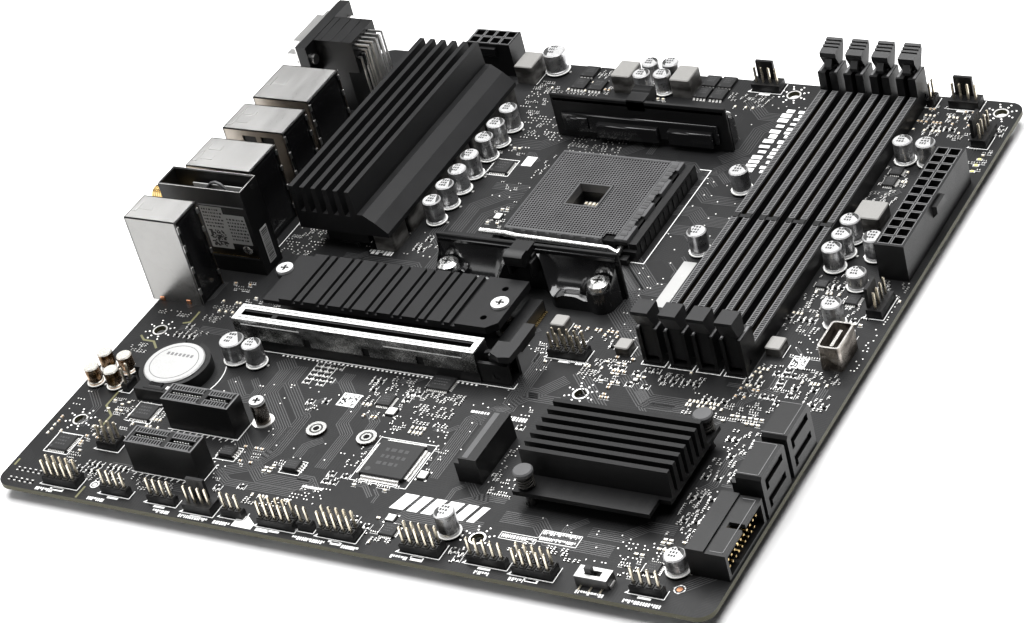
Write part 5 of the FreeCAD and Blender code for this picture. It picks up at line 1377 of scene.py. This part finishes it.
def scatter_area(builds, area, rng):
    (x0, x1), (y0, y1), kinds, fill, along = area
    y = y0
    while y < y1:
        row_kind = rng.choice(kinds)
        length, width, height = PART_SIZES.get(row_kind, (0.6, 0.6, 0.0))
        step = (length, width) if along == "x" else (width, length)
        x = x0 + rng.uniform(0, 0.3)
        while x + step[0] <= x1:
            reach_x, reach_y = (x, x + step[0]), (y, y + step[1])
            if rng.random() < fill * CROWDING and y + step[1] <= y1 + 0.5 and is_free(reach_x, reach_y):
                place_part(builds, row_kind, reach_x, reach_y, height, along, rng)
            x += step[0] + rng.uniform(0.45, 0.85)
        y += step[1] + rng.uniform(0.5, 0.85)


def place_part(builds, kind, x, y, height, along, rng):
    """One part of an area, and at times a printed line beside it."""
    centre = (half_way(x), half_way(y))
    if kind == "v":
        builds["pads"].lathe(centre + (0.0,), [(0.27, 0.0), (0.24, 0.09), (0.0, 0.12)], TIN, sides=8)
        return
    FOOTPRINTS.append((x, y))
    size = (x[1] - x[0], y[1] - y[0])
    if kind == "n":
        three_leg_part(builds["bodies"], x, y, height, along)
    elif kind == "r":
        chip_part(builds["resistors"], centre, size, height, RESIN, along)
    else:
        chip_part(builds["capacitors"], centre, size, height, CREAM if kind == "w" else TAN, along)
    grow = 0.22
    if rng.random() < 0.55:
        flank = ((x[0] - grow, x[1] + grow), (y[0] - grow - 0.12, y[0] - grow))
        if along == "y":
            flank = ((x[0] - grow - 0.12, x[0] - grow), (y[0] - grow, y[1] + grow))
        builds["pads"].plate(flank[0], flank[1], (0.0, 0.04), SILK)


def add_small_parts():
    rng = random.Random(77)
    builds = {key: Build("small_" + key) for key in ("resistors", "capacitors", "bodies", "pads")}
    for area in AREAS:
        scatter_area(builds, area, rng)
    slots = {"resistors": "tinned_pin", "capacitors": "cream_plastic", "bodies": "chip_resin",
             "pads": "tinned_pin"}
    for key, build in builds.items():
        build.done(slot=slots[key])


def add_crystals():
    """Metal-cased crystals with a pale lid."""
    build = Build("crystals")
    for x, y in (((109.2, 112.8), (56.4, 60.0)), ((134.2, 137.4), (32.4, 36.0)),
                 ((134.2, 137.4), (13.6, 16.8)), ((94.0, 96.8), (154.0, 157.4)),
                 ((178.4, 180.2), (86.8, 88.6))):
        if is_free(x, y, 0.0):
            FOOTPRINTS.append((x, y))
            build.box(x, y, (0.0, 0.5), RESIN, edge=0.08)
            build.box((x[0] + 0.3, x[1] - 0.3), (y[0] + 0.3, y[1] - 0.3), (0.45, 0.85), PALE, edge=0.12)
            for cx in x:
                for cy in y:
                    build.plate((cx - 0.35, cx + 0.35), (cy - 0.35, cy + 0.35), (0.0, 0.12), TIN)
    build.done(slot="radio_shield")


def add_resistor_rows():
    """Two rows of slanted dark parts in the front corner."""
    build = Build("corner_parts")
    for row_y in (7.5, 3.0):
        for k in range(5):
            x = 4.4 + 2.1 * k
            chip_part(build, (x, row_y), (0.8, 1.7), 0.45, RESIN, along="y")
            FOOTPRINTS.append(((x - 0.4, x + 0.4), (row_y - 0.9, row_y + 0.9)))
    build.done(slot="tinned_pin")


def add_lamps():
    """Three small indicator lamps by the front edge of the memory corner."""
    build = Build("indicator_lamps")
    for y in (205.0, 208.3, 211.5):
        x = 240.0
        FOOTPRINTS.append(((x - 1.0, x + 1.0), (y - 0.6, y + 0.6)))
        chip_part(build, (x, y), (2.0, 1.1), 0.3, PALE)
        build.box((x - 0.55, x + 0.55), (y - 0.45, y + 0.45), (0.28, 0.62), AMBER, edge=0.12)
    build.done(slot="latch_plastic")


add_crystals()
add_resistor_rows()
add_lamps()
add_small_parts()


# ---------------------------------------------------------------- headers
PIN_SOLDER = [(0.95, 0.0), (0.85, -0.1), (0.4, -0.6), (0.28, -1.1), (0.0, -1.15)]
POWER_SOLDER = [(1.5, 0.0), (1.3, -0.2), (0.6, -0.8), (0.5, -1.3), (0.0, -1.4)]


def add_header_details():
    """Raised collars round the pins, and solder under them."""
    collars = Build("header_collars")
    solder = Build("pin_solder")
    for x, y, _ in solids("header_pins"):
        cx, cy = half_way(x), half_way(y)
        gap = ((cx - 0.62, cx + 0.62), (cy - 0.62, cy + 0.62))
        collars.rim(*gap, 0.4, (2.5, 2.86), SLOT_BLACK, closed=False)
        solder.lathe((cx, cy, UNDER), PIN_SOLDER, TIN, sides=10)
    collars.done()
    for x, y, _ in solids("power_pins"):
        solder.lathe((half_way(x), half_way(y), UNDER), POWER_SOLDER, TIN, sides=12)
    solder.done(slot="tinned_pin")


def add_power_trim():
    """Raised grey rims between the cells of the power headers, painted sheen on the black cell walls."""
    build = Build("power_header_rims")
    cells = [(half_way(x), half_way(y)) for x, y, _ in solids("power_pins")]
    half = 1.65
    for x, y, h in solids("power_headers"):
        top = h[1]
        for cx, cy in cells:
            if x[0] < cx < x[1] and y[0] < cy < y[1]:
                build.rim((cx - half, cx + half), (cy - half, cy + half), 0.25, (top - 0.02, top + 0.12),
                          SHEEN_AND_PRINT_GREY, closed=False)
        if y[1] - y[0] > 20:
            for k in range(5):
                step = y[0] + 4.0 + 10.4 * k
                build.box((x[0] - 0.3, x[0] + 0.1), (step, step + 1.0), (0.5, top - 0.8), BLACK, edge=0.1)
    build.done()


def add_data_port_trim():
    """Fine raised grey lines of painted sheen along the drive ports and the front-port header."""
    build = Build("data_port_trim")
    tops = [(x, y, h[1]) for x, y, h in solids("sata_ports")]
    tops += [((237.2, x[1]), y, h[1] - 0.6) for x, y, h in solids("usb3_header")]
    inset = 1.1
    for x, y, top in tops:
        across = (y[0] + inset, y[1] - inset)
        for part_x, part_y in (((x[0] + inset, x[1] - inset), (across[0], across[0] + 0.2)),
                               ((x[0] + inset, x[1] - inset), (across[1] - 0.2, across[1])),
                               ((x[1] - inset - 0.2, x[1] - inset), across)):
            build.plate(part_x, part_y, (top - 0.02, top + 0.1), SHEEN_AND_PRINT_GREY)
    for y in (42.6, 60.1):
        for low in (3.9, 10.2):
            for k in range(7):
                spot = y + 1.6 + 1.27 * k
                build.box((242.0, 242.62), (spot, spot + 0.5), (low + 1.78, low + 1.9), GOLD)
    build.done()


add_header_details()
add_power_trim()
add_data_port_trim()


# ---------------------------------------------------------------- small switch and battery clips
def add_switch_legs():
    """Gold legs and bright end tabs of the small slide switch."""
    build = Build("switch_cover")
    x, y, _ = span("led_switch_body")
    mid = half_way(y)
    for k in range(3):
        px = x[0] + 1.6 + 3.3 * k
        build.box((px - 0.3, px + 0.3), (y[0] - 1.7, y[0] + 0.2), (0.0, 0.3), PIN_GOLD, edge=0.06)
    for end in ((x[0] - 0.5, x[0]), (x[1], x[1] + 0.5)):
        build.box(end, (mid - 1.4, mid + 1.4), (0.0, 0.9), TIN, edge=0.1)
    build.done(slot="white_plastic")


def add_battery_clips():
    """Clips of the cell holder, and the marks on the cell's face, which lift with the cell."""
    build = Build("battery_clips")
    cx, cy = middle("coin_cell")
    low = cy - 12.9
    build.box((cx - 4.0, cx + 4.0), (low, low + 1.4), (3.4, 4.7), BLACK, edge=0.25)
    build.box((cx - 2.6, cx + 2.6), (low + 1.2, low + 3.4), (4.4, 4.85), GLOSS, edge=0.2)
    build.box((cx + 4.4, cx + 6.0), (low + 0.8, low + 2.2), (4.2, 4.7), TIN, edge=0.12)
    build.done(slot="tinned_pin")
    marks = Build("coin_cell_marks")
    face = span("coin_cell")[2][1]
    marks.ring((cx, cy), 7.9, 8.15, (face, face + 0.04), SHEEN_AND_PRINT_GREY, sides=72)
    for k in range(7):
        spot = cx - 5.0 + 1.5 * k
        marks.box((spot, spot + 0.9), (cy + 3.0, cy + 4.3), (face, face + 0.04), SHEEN_AND_PRINT_GREY)
    marks.done(body="cell", slot="cell_steel")


def add_hardware_details():
    """Dark crosses of painted shade in the screw recesses, stand-off rings with painted shade in their holes,
    lines on the long slot's cover and the drive sockets' contacts.
    """
    build = Build("hardware_details")
    for node, arm in (("heatsink_screws", 1.25), ("bracket_screws", 1.3)):
        for x, y, h in solids(node):
            cx, cy = half_way(x), half_way(y)
            for turn in (0.35, 0.35 + math.pi / 2):
                dx, dy = arm * math.cos(turn), arm * math.sin(turn)
                build.line([(cx - dx, cy - dy), (cx + dx, cy + dy)], 0.5, (h[1], h[1] + 0.04), PAINTED_SHADE_DARK)
    for x, y, h in solids("m2_standoffs"):
        centre, radius = (half_way(x), half_way(y)), (x[1] - x[0]) / 2
        build.ring(centre, radius * 0.5, radius * 0.68, (h[1], h[1] + 0.04), INK_AND_PAINTED_SHADE, sides=28)
        build.lathe(centre + (h[1],), [(radius * 0.3, 0.0), (radius * 0.26, 0.05), (0.0, 0.05)],
                    PAINTED_SHADE_DARK, sides=18)
        if h[1] > 4.0:
            build.ring(centre, radius + 0.05, radius + 1.1, (0.0, 0.5), TIN, sides=28)
    x, y, h = span("pcie_x16_shield")
    for lane in (y[0] + 1.05, y[1] - 1.3):
        build.box((x[0] + 1.0, x[1] - 1.0), (lane, lane + 0.25), (h[1], h[1] + 0.03), INK_AND_PAINTED_SHADE)
    face = y[0] - 0.07
    for start, stop, level in ((3.0, 25.0, 9.2), (56.0, 84.0, 8.6)):
        build.box((x[0] + start, x[0] + stop), (face, y[0] + 0.05), (level, level + 0.3), SILK)
    for x, y, h in solids("m2_connectors"):
        if h[1] > 6.0:
            build.box((x[1] - 4.9, x[1] - 3.1), (y[0] + 0.6, y[1] - 0.6), (h[1], h[1] + 0.06), COVER_GREY)
        else:
            for k in range(24):
                spot = y[0] + 1.0 + 0.86 * k
                build.plate((x[1] - 0.1, x[1] + 1.1), (spot, spot + 0.4), (0.0, 0.35), GOLD)
            build.box((x[1] - 0.4, x[1] + 0.08), (y[0] + 0.4, y[1] - 0.4), (0.6, h[1] - 0.3), CHOKE_SIDE)
    build.done(slot="tinned_pin")


add_switch_legs()
add_battery_clips()
add_hardware_details()


# ---------------------------------------------------------------- rear ports
# openings of each port block in the rear face: y centre, h centre, width, height
SHEET_T = 0.4
PORT_OPENINGS = {
    "audio": [(99.2, 5.9, 7.9, 7.9), (99.2, 16.2, 7.9, 7.9), (99.2, 26.5, 7.9, 7.9)],
    "network": [(136.15, 21.8, 11.9, 8.6), (136.15, 5.6, 13.1, 5.7), (136.15, 12.9, 13.1, 5.7)],
    "usb": [(158.05, 5.2, 13.1, 5.7), (158.05, 12.3, 13.1, 5.7), (158.05, 21.8, 12.6, 8.4)],
    "display": [(180.0, 7.4, 15.2, 5.6), (180.0, 20.4, 16.4, 5.6)],
}


def sheet(build, axis, reach, u, v, holes, material):
    """Plate normal to an axis, with rectangular holes. u and v are its extents; holes are (u, v) pairs."""
    us = sorted({u[0], u[1]} | {c for hole in holes for c in hole[0] if u[0] < c < u[1]})
    vs = sorted({v[0], v[1]} | {c for hole in holes for c in hole[1] if v[0] < c < v[1]})
    for a in zip(us, us[1:]):
        for b in zip(vs, vs[1:]):
            mid = (half_way(a), half_way(b))
            if any(h[0][0] < mid[0] < h[0][1] and h[1][0] < mid[1] < h[1][1] for h in holes):
                continue
            spans = {"x": (reach, a, b), "y": (a, reach, b), "h": (a, b, reach)}[axis]
            build.box(*spans, material)


def port_shell(build, name, x, y, h):
    """Folded shell: top, sides and pierced rear face, open towards the front of the board."""
    top = h[1]
    holes = [((cy - w / 2, cy + w / 2), (ch - t / 2, ch + t / 2)) for cy, ch, w, t in PORT_OPENINGS[name]]
    sheet(build, "x", (x[0], x[0] + SHEET_T), (y[0], y[1]), (0.0, top), holes, NICKEL)
    lip = 0.7
    for across, upright in holes:
        for level in (upright[1], upright[0] - lip):
            build.box((x[0] - 0.35, x[0]), (across[0] - lip, across[1] + lip), (level, level + lip),
                      NICKEL, edge=0.12)
    sheet(build, "h", (top - SHEET_T, top), x, y, [], NICKEL)
    slots = []
    if name == "network":
        slots = [((x[0] + 6.0, x[1] - 4.0), (top - 5.6, top - 3.0))]
    if name == "usb":
        depth = x[1] - x[0]
        slots = [((x[0] + depth * start, x[0] + depth * (start + 0.22)), (top - 6.2, top - 2.4))
                 for start in (0.3, 0.6)]
    # the side walls wear the darker nickel copies: painted shade
    near_side = PORT_SIDE if name == "audio" else SHADED_SIDE_NICKEL
    sheet(build, "y", (y[0], y[0] + SHEET_T), x, (0.0, top), slots, near_side)
    sheet(build, "y", (y[1] - SHEET_T, y[1]), x, (0.0, top), slots, SHADED_SIDE_NICKEL)
    build.box((x[1] - 0.5, x[1] + 0.02), (y[0], y[0] + 0.3), (0.5, top), NICKEL)
    build.box((x[1] - 0.5, x[1] + 0.02), (y[0], y[1]), (top - 0.5, top), NICKEL)
    for share in (0.16, 0.42, 0.68, 0.9):
        level = top * share
        build.box((x[1] - 0.3, x[1] + 0.3), (y[0], y[0] + 1.1), (level - 1.3, level + 1.3), NICKEL, edge=0.08)
        build.box((x[1] - 0.3, x[1] + 0.3), (y[1] - 0.9, y[1]), (level - 1.0, level + 1.0), NICKEL, edge=0.08)
    for share in (0.2, 0.72):
        foot = x[0] + (x[1] - x[0]) * share
        build.box((foot - 0.9, foot + 0.9), (y[0] - 0.25, y[0] + 0.3), (0.0, 1.6), COPPER, edge=0.12)
    dimple_rows = 2 if name in ("network", "usb") else 1
    for row in range(dimple_rows):
        spot = y[0] + (y[1] - y[0]) * (row + 1) / (dimple_rows + 1)
        build.box((x[0] + 3.0, x[0] + 8.0), (spot - 1.2, spot + 1.2), (top, top + 0.22), NICKEL, edge=0.1)
        build.box((x[0] + 0.6, x[0] + 2.6), (spot - 2.6, spot + 2.6), (top, top + 0.3), NICKEL, edge=0.12)


def add_rear_ports():
    """The four port shells, and the contacts and inner faces of their inserts."""
    build = Build("rear_port_cases")
    order = ["audio", "network", "usb", "display"]
    for name, (x, y, h) in zip(order, sorted(solids("rear_port_shells"), key=lambda b: b[1][0])):
        port_shell(build, name, x, y, h)
    build.done(slot="port_steel", replaces=["rear_port_shells"], bevel=0.06)
    fingers = Build("port_details")
    for name, (x, y, h) in zip(order, sorted(solids("rear_port_inserts"), key=lambda b: b[1][0])):
        fingers.box((x[1] - 0.02, x[1] + 0.12), (y[0] + 1.6, y[1] - 1.6), (1.2, h[1] - 1.6), GLOSS, edge=0.06)
        if name == "network":
            fingers.box((x[0] + 7.0, x[1] - 5.0), (y[0] - 0.15, y[0] + 0.1), (h[1] - 5.0, h[1] - 3.6),
                        WHITE, edge=0.05)
        for cy, ch, _, t in PORT_OPENINGS[name]:
            if name == "audio":
                continue
            small = name != "display" and t < 8
            count, pitch, half = (4, 2.4, 0.5) if small else (8, 1.03, 0.25)
            levels = (ch - 0.98, ch - 0.88) if small else (ch + t / 2 - 2.2, ch + t / 2 - 2.08)
            for k in range(count):
                spot = cy - 3.6 + pitch * k
                fingers.box((x[0] + 1.0, x[0] + 8.0), (spot - half, spot + half), levels, GOLD)
    fingers.done()


def add_radio_details():
    """Label, screw and cables of the upright radio card in its frame."""
    build = Build("radio_card_label")
    card_x, _, card_h = span("wifi_module")
    face = 113.0
    print_y = (face - 0.11, face - 0.07)
    rng = random.Random(5)
    for x, h in (((11.8, 20.6), (8.6, 25.2)), ((20.6, 28.8), (11.0, 22.6))):
        build.box(x, (face - 0.06, face + 0.02), h, LABEL, edge=0.02)
    for left, right, low, rows in ((12.4, 19.4, 17.0, 6), (21.4, 28.2, 12.4, 7)):
        for row in range(rows):
            level = low + 1.35 * row
            spot = left
            while spot < right:
                tick = rng.uniform(0.3, 0.9)
                build.box((spot, spot + tick), print_y, (level, level + 0.6), INK_AND_PAINTED_SHADE)
                spot += tick + rng.uniform(0.25, 0.6)
    for col in range(13):
        for row in range(13):
            if rng.random() < 0.52:
                x, h = 12.6 + 0.5 * col, 9.4 + 0.5 * row
                build.box((x, x + 0.5), print_y, (h, h + 0.5), INK_AND_PAINTED_SHADE)
    build.lathe((25.75, 113.9, 8.85), [(0.0, -1.1), (1.4, -1.0), (1.9, -0.7), (1.9, 0.0)], STEEL,
                sides=24, axis="y")
    # dark cross on the screw head: painted shade of its recess
    for x, h in (((24.4, 27.1), (8.7, 9.0)), ((25.6, 25.9), (7.5, 10.2))):
        build.box(x, (112.78, 112.95), h, INK_AND_PAINTED_SHADE)
    build.box((card_x[0] + 0.4, card_x[1] - 0.6), (113.6, 113.98), (card_h[0] + 3.8, card_h[0] + 5.2), GOLD)
    build.done(slot="radio_shield")
    rim = Build("radio_frame_rim")
    x, y, h = span("wifi_bracket")
    for edge_x, edge_y in ((x, (y[0], y[0] + 0.28)), (x, (y[1] - 0.28, y[1])),
                           ((x[1] - 0.28, x[1]), (y[0] + 0.28, y[1] - 0.28))):
        rim.box(edge_x, edge_y, (h[1], h[1] + 0.2), NICKEL, edge=0.06)
    rim.box((x[1], x[1] + 0.12), (115.2, 119.0), (2.8, 16.0), LABEL)
    for row in range(16):
        level = 3.4 + 0.76 * row
        rim.box((x[1] + 0.12, x[1] + 0.16), (115.6, 118.6), (level, level + rng.uniform(0.2, 0.55)), INK_AND_PAINTED_SHADE)
    # near-black disc: painted shade of a hole in the frame
    rim.lathe((x[1], 118.5, 30.8), [(1.0, 0.0), (0.9, 0.15), (0.0, 0.15)], PAINTED_SHADE_DARK, sides=16, axis="x")
    rim.done(slot="black_steel")
    cables = Build("antenna_cables")
    jack_y, last_step = 117.6, 14
    for k, jack_h in enumerate((9.0, 24.0)):
        path = []
        for step in range(last_step + 1):
            t = step / last_step
            arch = (29.0 - jack_h) * math.sin(math.pi * min(1, t * 1.1)) * 0.9
            level = jack_h + arch - t * (jack_h - 23.0) * 0.6
            path.append((4.8 + t * (24.0 - 6.0 * k), jack_y + 1.6 * math.sin(2.2 * t) - 1.0 * t,
                         min(level, 31.0)))
        cables.tube(path, 0.55, CABLE, sides=10)
        end = path[-1]
        cables.lathe((end[0], end[1], end[2] - 1.0), [(1.0, 0.0), (1.0, 0.9), (0.5, 1.3), (0.0, 1.3)],
                     GOLD, sides=14)
    cables.box((7.0, 27.0), (118.9, 119.4), (24.0, 29.5), LABEL, edge=0.1)
    cables.done(slot="gold_contact")


def add_video_details():
    """Rows of sockets with holes of painted shade, and a rim on the raised video port."""
    build = Build("video_port_face")
    housing_x = span("vga_housing")[0][0]
    mid_y, mid_h = half_way(span("vga_shell")[1]), 23.3
    face_x = housing_x - 4.6
    build.box((face_x, housing_x - 0.9), (mid_y - 7.6, mid_y + 7.6), (mid_h - 3.3, mid_h + 3.3),
              BLUE_JACK, edge=0.3)
    for row in range(3):
        for k in range(5):
            spot = mid_y - 4.6 + 2.29 * k + (1.1 if row == 1 else 0.0)
            build.lathe((face_x, spot, mid_h + 2.0 - 2.0 * row),
                        [(0.42, -0.02), (0.36, 0.3), (0.0, 0.3)], PAINTED_SHADE_DARK, sides=10, axis="x")
    for rib in range(3):
        build.box((4.0 + 4.4 * rib, 5.0 + 4.4 * rib), (204.6, 218.8), (29.35, 29.6), BLACK, edge=0.12)
    build.done()


def add_antenna_details():
    """Knurled nuts and insulating rings of the antenna sockets."""
    build = Build("antenna_nuts")
    for x, y, h in solids("antenna_jacks"):
        centre = (half_way(y), half_way(h))
        build.lathe((x[0] + 4.6,) + centre, [(3.1, 0.0), (4.2, 0.1), (4.2, 1.7), (3.1, 1.8)], GOLD,
                    sides=6, axis="x", smooth=False)
        for k in range(5):
            reach = x[0] + 0.5 + 0.75 * k
            build.lathe((reach,) + centre, [(3.05, 0.0), (3.28, 0.15), (3.28, 0.3), (3.05, 0.45)],
                        GOLD, sides=24, axis="x")
    build.done(slot="gold_contact")


add_rear_ports()
add_radio_details()
add_video_details()
add_antenna_details()


# ---------------------------------------------------------------- push pins
def add_springs():
    """Round-wire coils under the caps of the push pins."""
    seat = span("chipset_heatsink")[2][0] + 1.5
    for side in ("left", "right"):
        cx, cy = middle("push_pin_" + side)
        low, high = seat + 0.45, 10.55
        turns, steps = 4, 28
        path = []
        for k in range(turns * steps + 1):
            angle = 2 * math.pi * k / steps
            level = low + (high - low) * k / (turns * steps)
            path.append((cx + 2.3 * math.cos(angle), cy + 2.3 * math.sin(angle), level))
        build = Build("push_pin_spring_" + side)
        build.tube(path, 0.32, CHOKE_SIDE, sides=10)
        piece = build.done(slot="spring_steel", replaces=["push_pin_springs"] if side == "left" else ())
        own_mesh(piece)


add_springs()


# ---------------------------------------------------------------- underside
def flat_chip(build, x, y, half, end, half_width, height, body):
    """Two-ended chip part under the board, lying along x."""
    for low, high, look in ((-half, -end, TIN), (end, half, TIN), (-end, end, body)):
        build.box((x + low, x + high), (y - half_width, y + half_width), (UNDER - height, UNDER), look)


def add_underside():
    """Solder joints of the slots and ports, test points and small parts below the board."""
    build = Build("underside_joints")
    joint = [(0.62, 0.0), (0.5, -0.22), (0.28, -0.6), (0.0, -0.72)]

    def joint_at(x, y, scale=1.0):
        build.lathe((x, y, UNDER), [(r * scale, z * scale) for r, z in joint], TIN, sides=8)

    for x, y, _ in solids("dimm_slots"):
        mid = half_way(x)
        count = 72
        for k in range(count):
            spot = y[0] + 9.0 + (y[1] - y[0] - 18.0) * k / (count - 1)
            for lane in (-2.4, -0.9, 0.9, 2.4):
                shift = 0.45 if lane in (-0.9, 2.4) else -0.45
                joint_at(mid + lane, spot + shift, 0.72)
    card_slots = [span("pcie_x16_slot")] + solids("pcie_x1_slots")
    for x, y, _ in card_slots:
        mid = half_way(y)
        for k in range(int(x[1] - x[0] - 6.0)):
            spot = x[0] + 3.0 + k
            for lane in (-2.6, -0.9, 0.9, 2.6):
                joint_at(spot + (0.25 if lane in (-0.9, 2.6) else -0.25), mid + lane, 0.72)
    for node in ("capacitor_cans", "audio_capacitors"):
        for x, y, _ in solids(node):
            for side in (-1, 1):
                joint_at(half_way(x) + side * 1.3, half_way(y), 1.5)
    for x, y, _ in solids("rear_port_inserts"):
        for k in range(5):
            for lane in range(3):
                joint_at(x[0] + 12.0 + 3.4 * lane, y[0] + 2.0 + (y[1] - y[0] - 4.0) * k / 4, 1.1)
        for corner_x in (x[0] + 4.0, x[1] - 1.0):
            for corner_y in y:
                joint_at(corner_x, corner_y, 1.8)
    for x, y, _ in solids("sata_ports"):
        for k in range(14):
            joint_at(x[0] + 1.2, y[0] + 1.4 + 0.95 * k, 0.75)
    for x, y in HOLES:
        build.ring((x, y), 2.02, 4.6, (UNDER - 0.05, UNDER), TIN, sides=32)
    build.done(slot="tinned_pin")
    parts = Build("underside_parts")
    rng = random.Random(51)
    cx, cy = SOCKET_CENTRE
    for col in range(9):
        for row in range(9):
            if rng.random() < 0.8:
                x, y = cx - 12.0 + 3.0 * col, cy - 16.0 + 4.0 * row
                flat_chip(parts, x, y, 0.9, 0.5, 0.45, 0.6, CREAM)
    for _ in range(150):
        x, y = rng.uniform(20, 225), rng.uniform(12, 232)
        if abs(x - cx) > 40 or abs(y - cy) > 60:
            if not any(slot_x[0] - 2 < x < slot_x[1] + 2 and slot_y[0] - 2 < y < slot_y[1] + 2
                       for slot_x, slot_y, _ in solids("dimm_slots") + card_slots):
                flat_chip(parts, x, y, 0.5, 0.28, 0.27, 0.35, RESIN)
    for x, y in ((92.0, 100.0), (60.0, 150.0), (200.0, 70.0), (228.0, 60.0)):
        for k in range(5):
            parts.box((x + 3.0 * k, x + 3.0 * k + 1.8), (y, y + 3.6), (UNDER - 0.03, UNDER), SILK)
    parts.done(slot="chip_resin")
    lines = Build("underside_runs")
    for _ in range(140):
        x, y = rng.uniform(12, 222), rng.uniform(10, 225)
        run, lean = rng.uniform(4, 16), rng.choice((-1, 1)) * rng.uniform(2, 6)
        path = [(x, y), (x + run, y), (x + run + abs(lean), y + lean)]
        if rng.random() < 0.5:
            path = [(x, y), (x, y + run), (x + lean, y + run + abs(lean))]
        for offset in range(rng.choice((2, 3, 4))):
            moved = shifted(path, offset * 0.6)
            if all(4 < px < 240 and 4 < py < 240 for px, py in moved):
                lines.line(moved, 0.24, (UNDER - 0.03, UNDER), TRACE)
    lines.done(slot="board_laminate")


add_underside()


# ---------------------------------------------------------------- floor, light and camera
def floor_finish():
    """Plain near-white studio floor with a faint fine tooth."""
    n = Nodes("studio_floor")
    grain = n.noise(n.place(), 90.0, 3.0)
    n.feed(n.surface.inputs["Base Color"], n.mix(grain, (0.86, 0.86, 0.86, 1), (0.9, 0.9, 0.9, 1)))
    n.surface.inputs["Roughness"].default_value = 0.85
    return n.material


FLOOR_GAP = 0.0018    # metres; keeps the floor clear of what hangs under the board


def add_floor():
    """Square floor, four metres to each side of the origin."""
    reach = 4.0
    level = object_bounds()[0].z - FLOOR_GAP
    corners = [(-reach, -reach, level), (reach, -reach, level), (reach, reach, level), (-reach, reach, level)]
    mesh = bpy.data.meshes.new("floor")
    mesh.from_pydata(corners, [], [(0, 1, 2, 3)])
    mesh.materials.append(floor_finish())
    floor = bpy.data.objects.new("floor", mesh)
    bpy.context.scene.collection.objects.link(floor)


def add_area(name, place, aim, size, power):
    """Rectangular lamp; place and aim are frame positions, size is in metres and power in watts."""
    light = bpy.data.lights.new(name, "AREA")
    light.shape = "RECTANGLE"
    light.size, light.size_y = size
    light.energy = power
    lamp = bpy.data.objects.new(name, light)
    lamp.location = place
    lamp.rotation_euler = (Vector(aim) - Vector(place)).to_track_quat("-Z", "Y").to_euler()
    bpy.context.scene.collection.objects.link(lamp)


WORLD_FILL = 0.07
WORLD_SEEN = 1.0


def add_world():
    """White backdrop to the camera, dimmer to everything else, so that side faces stay dark."""
    world = bpy.data.worlds.new("studio")
    bpy.context.scene.world = world
    world.use_nodes = True
    tree = world.node_tree
    background = tree.nodes["Background"]
    background.inputs["Color"].default_value = (1, 1, 1, 1)
    ray = tree.nodes.new("ShaderNodeLightPath")
    span_node = tree.nodes.new("ShaderNodeMapRange")
    tree.links.new(ray.outputs["Is Camera Ray"], span_node.inputs["Value"])
    span_node.inputs["To Min"].default_value = WORLD_FILL
    span_node.inputs["To Max"].default_value = WORLD_SEEN
    tree.links.new(span_node.outputs[0], background.inputs["Strength"])


# the viewpoint that fits the board's corners and holes in the photo
AIM = at(124.45, 110.88, 0.0)
AZIMUTH = math.radians(37.37)
ELEVATION = math.radians(34.92)
ROLL = math.radians(-15.80)
DISTANCE = 0.8709    # metres
LENS = 99.26


def add_camera():
    """Camera at the photo's viewpoint."""
    camera_data = bpy.data.cameras.new("camera")
    camera_data.lens = LENS
    camera_data.sensor_width = 36.0
    camera_data.clip_start = 0.01
    camera = bpy.data.objects.new("camera", camera_data)
    forward = Vector((-math.sin(AZIMUTH) * math.cos(ELEVATION), math.cos(AZIMUTH) * math.cos(ELEVATION),
                      -math.sin(ELEVATION)))
    level = Vector((math.cos(AZIMUTH), math.sin(AZIMUTH), 0.0))
    rise = level.cross(forward)
    right = level * math.cos(ROLL) + rise * math.sin(ROLL)
    up = rise * math.cos(ROLL) - level * math.sin(ROLL)
    turn = Matrix((right, up, -forward)).transposed()
    camera.matrix_world = Matrix.Translation(AIM - forward * DISTANCE) @ turn.to_4x4()
    bpy.context.scene.collection.objects.link(camera)
    bpy.context.scene.camera = camera


add_floor()
add_world()
add_area("top_light", at(60, 330, 900), at(125, 120, 0), (1.1, 1.1), 30.0)
add_area("left_light", at(-520, -260, 300), at(60, 120, 0), (0.7, 0.5), 2.2)
bpy.context.scene.view_settings.view_transform = "Standard"
add_camera()
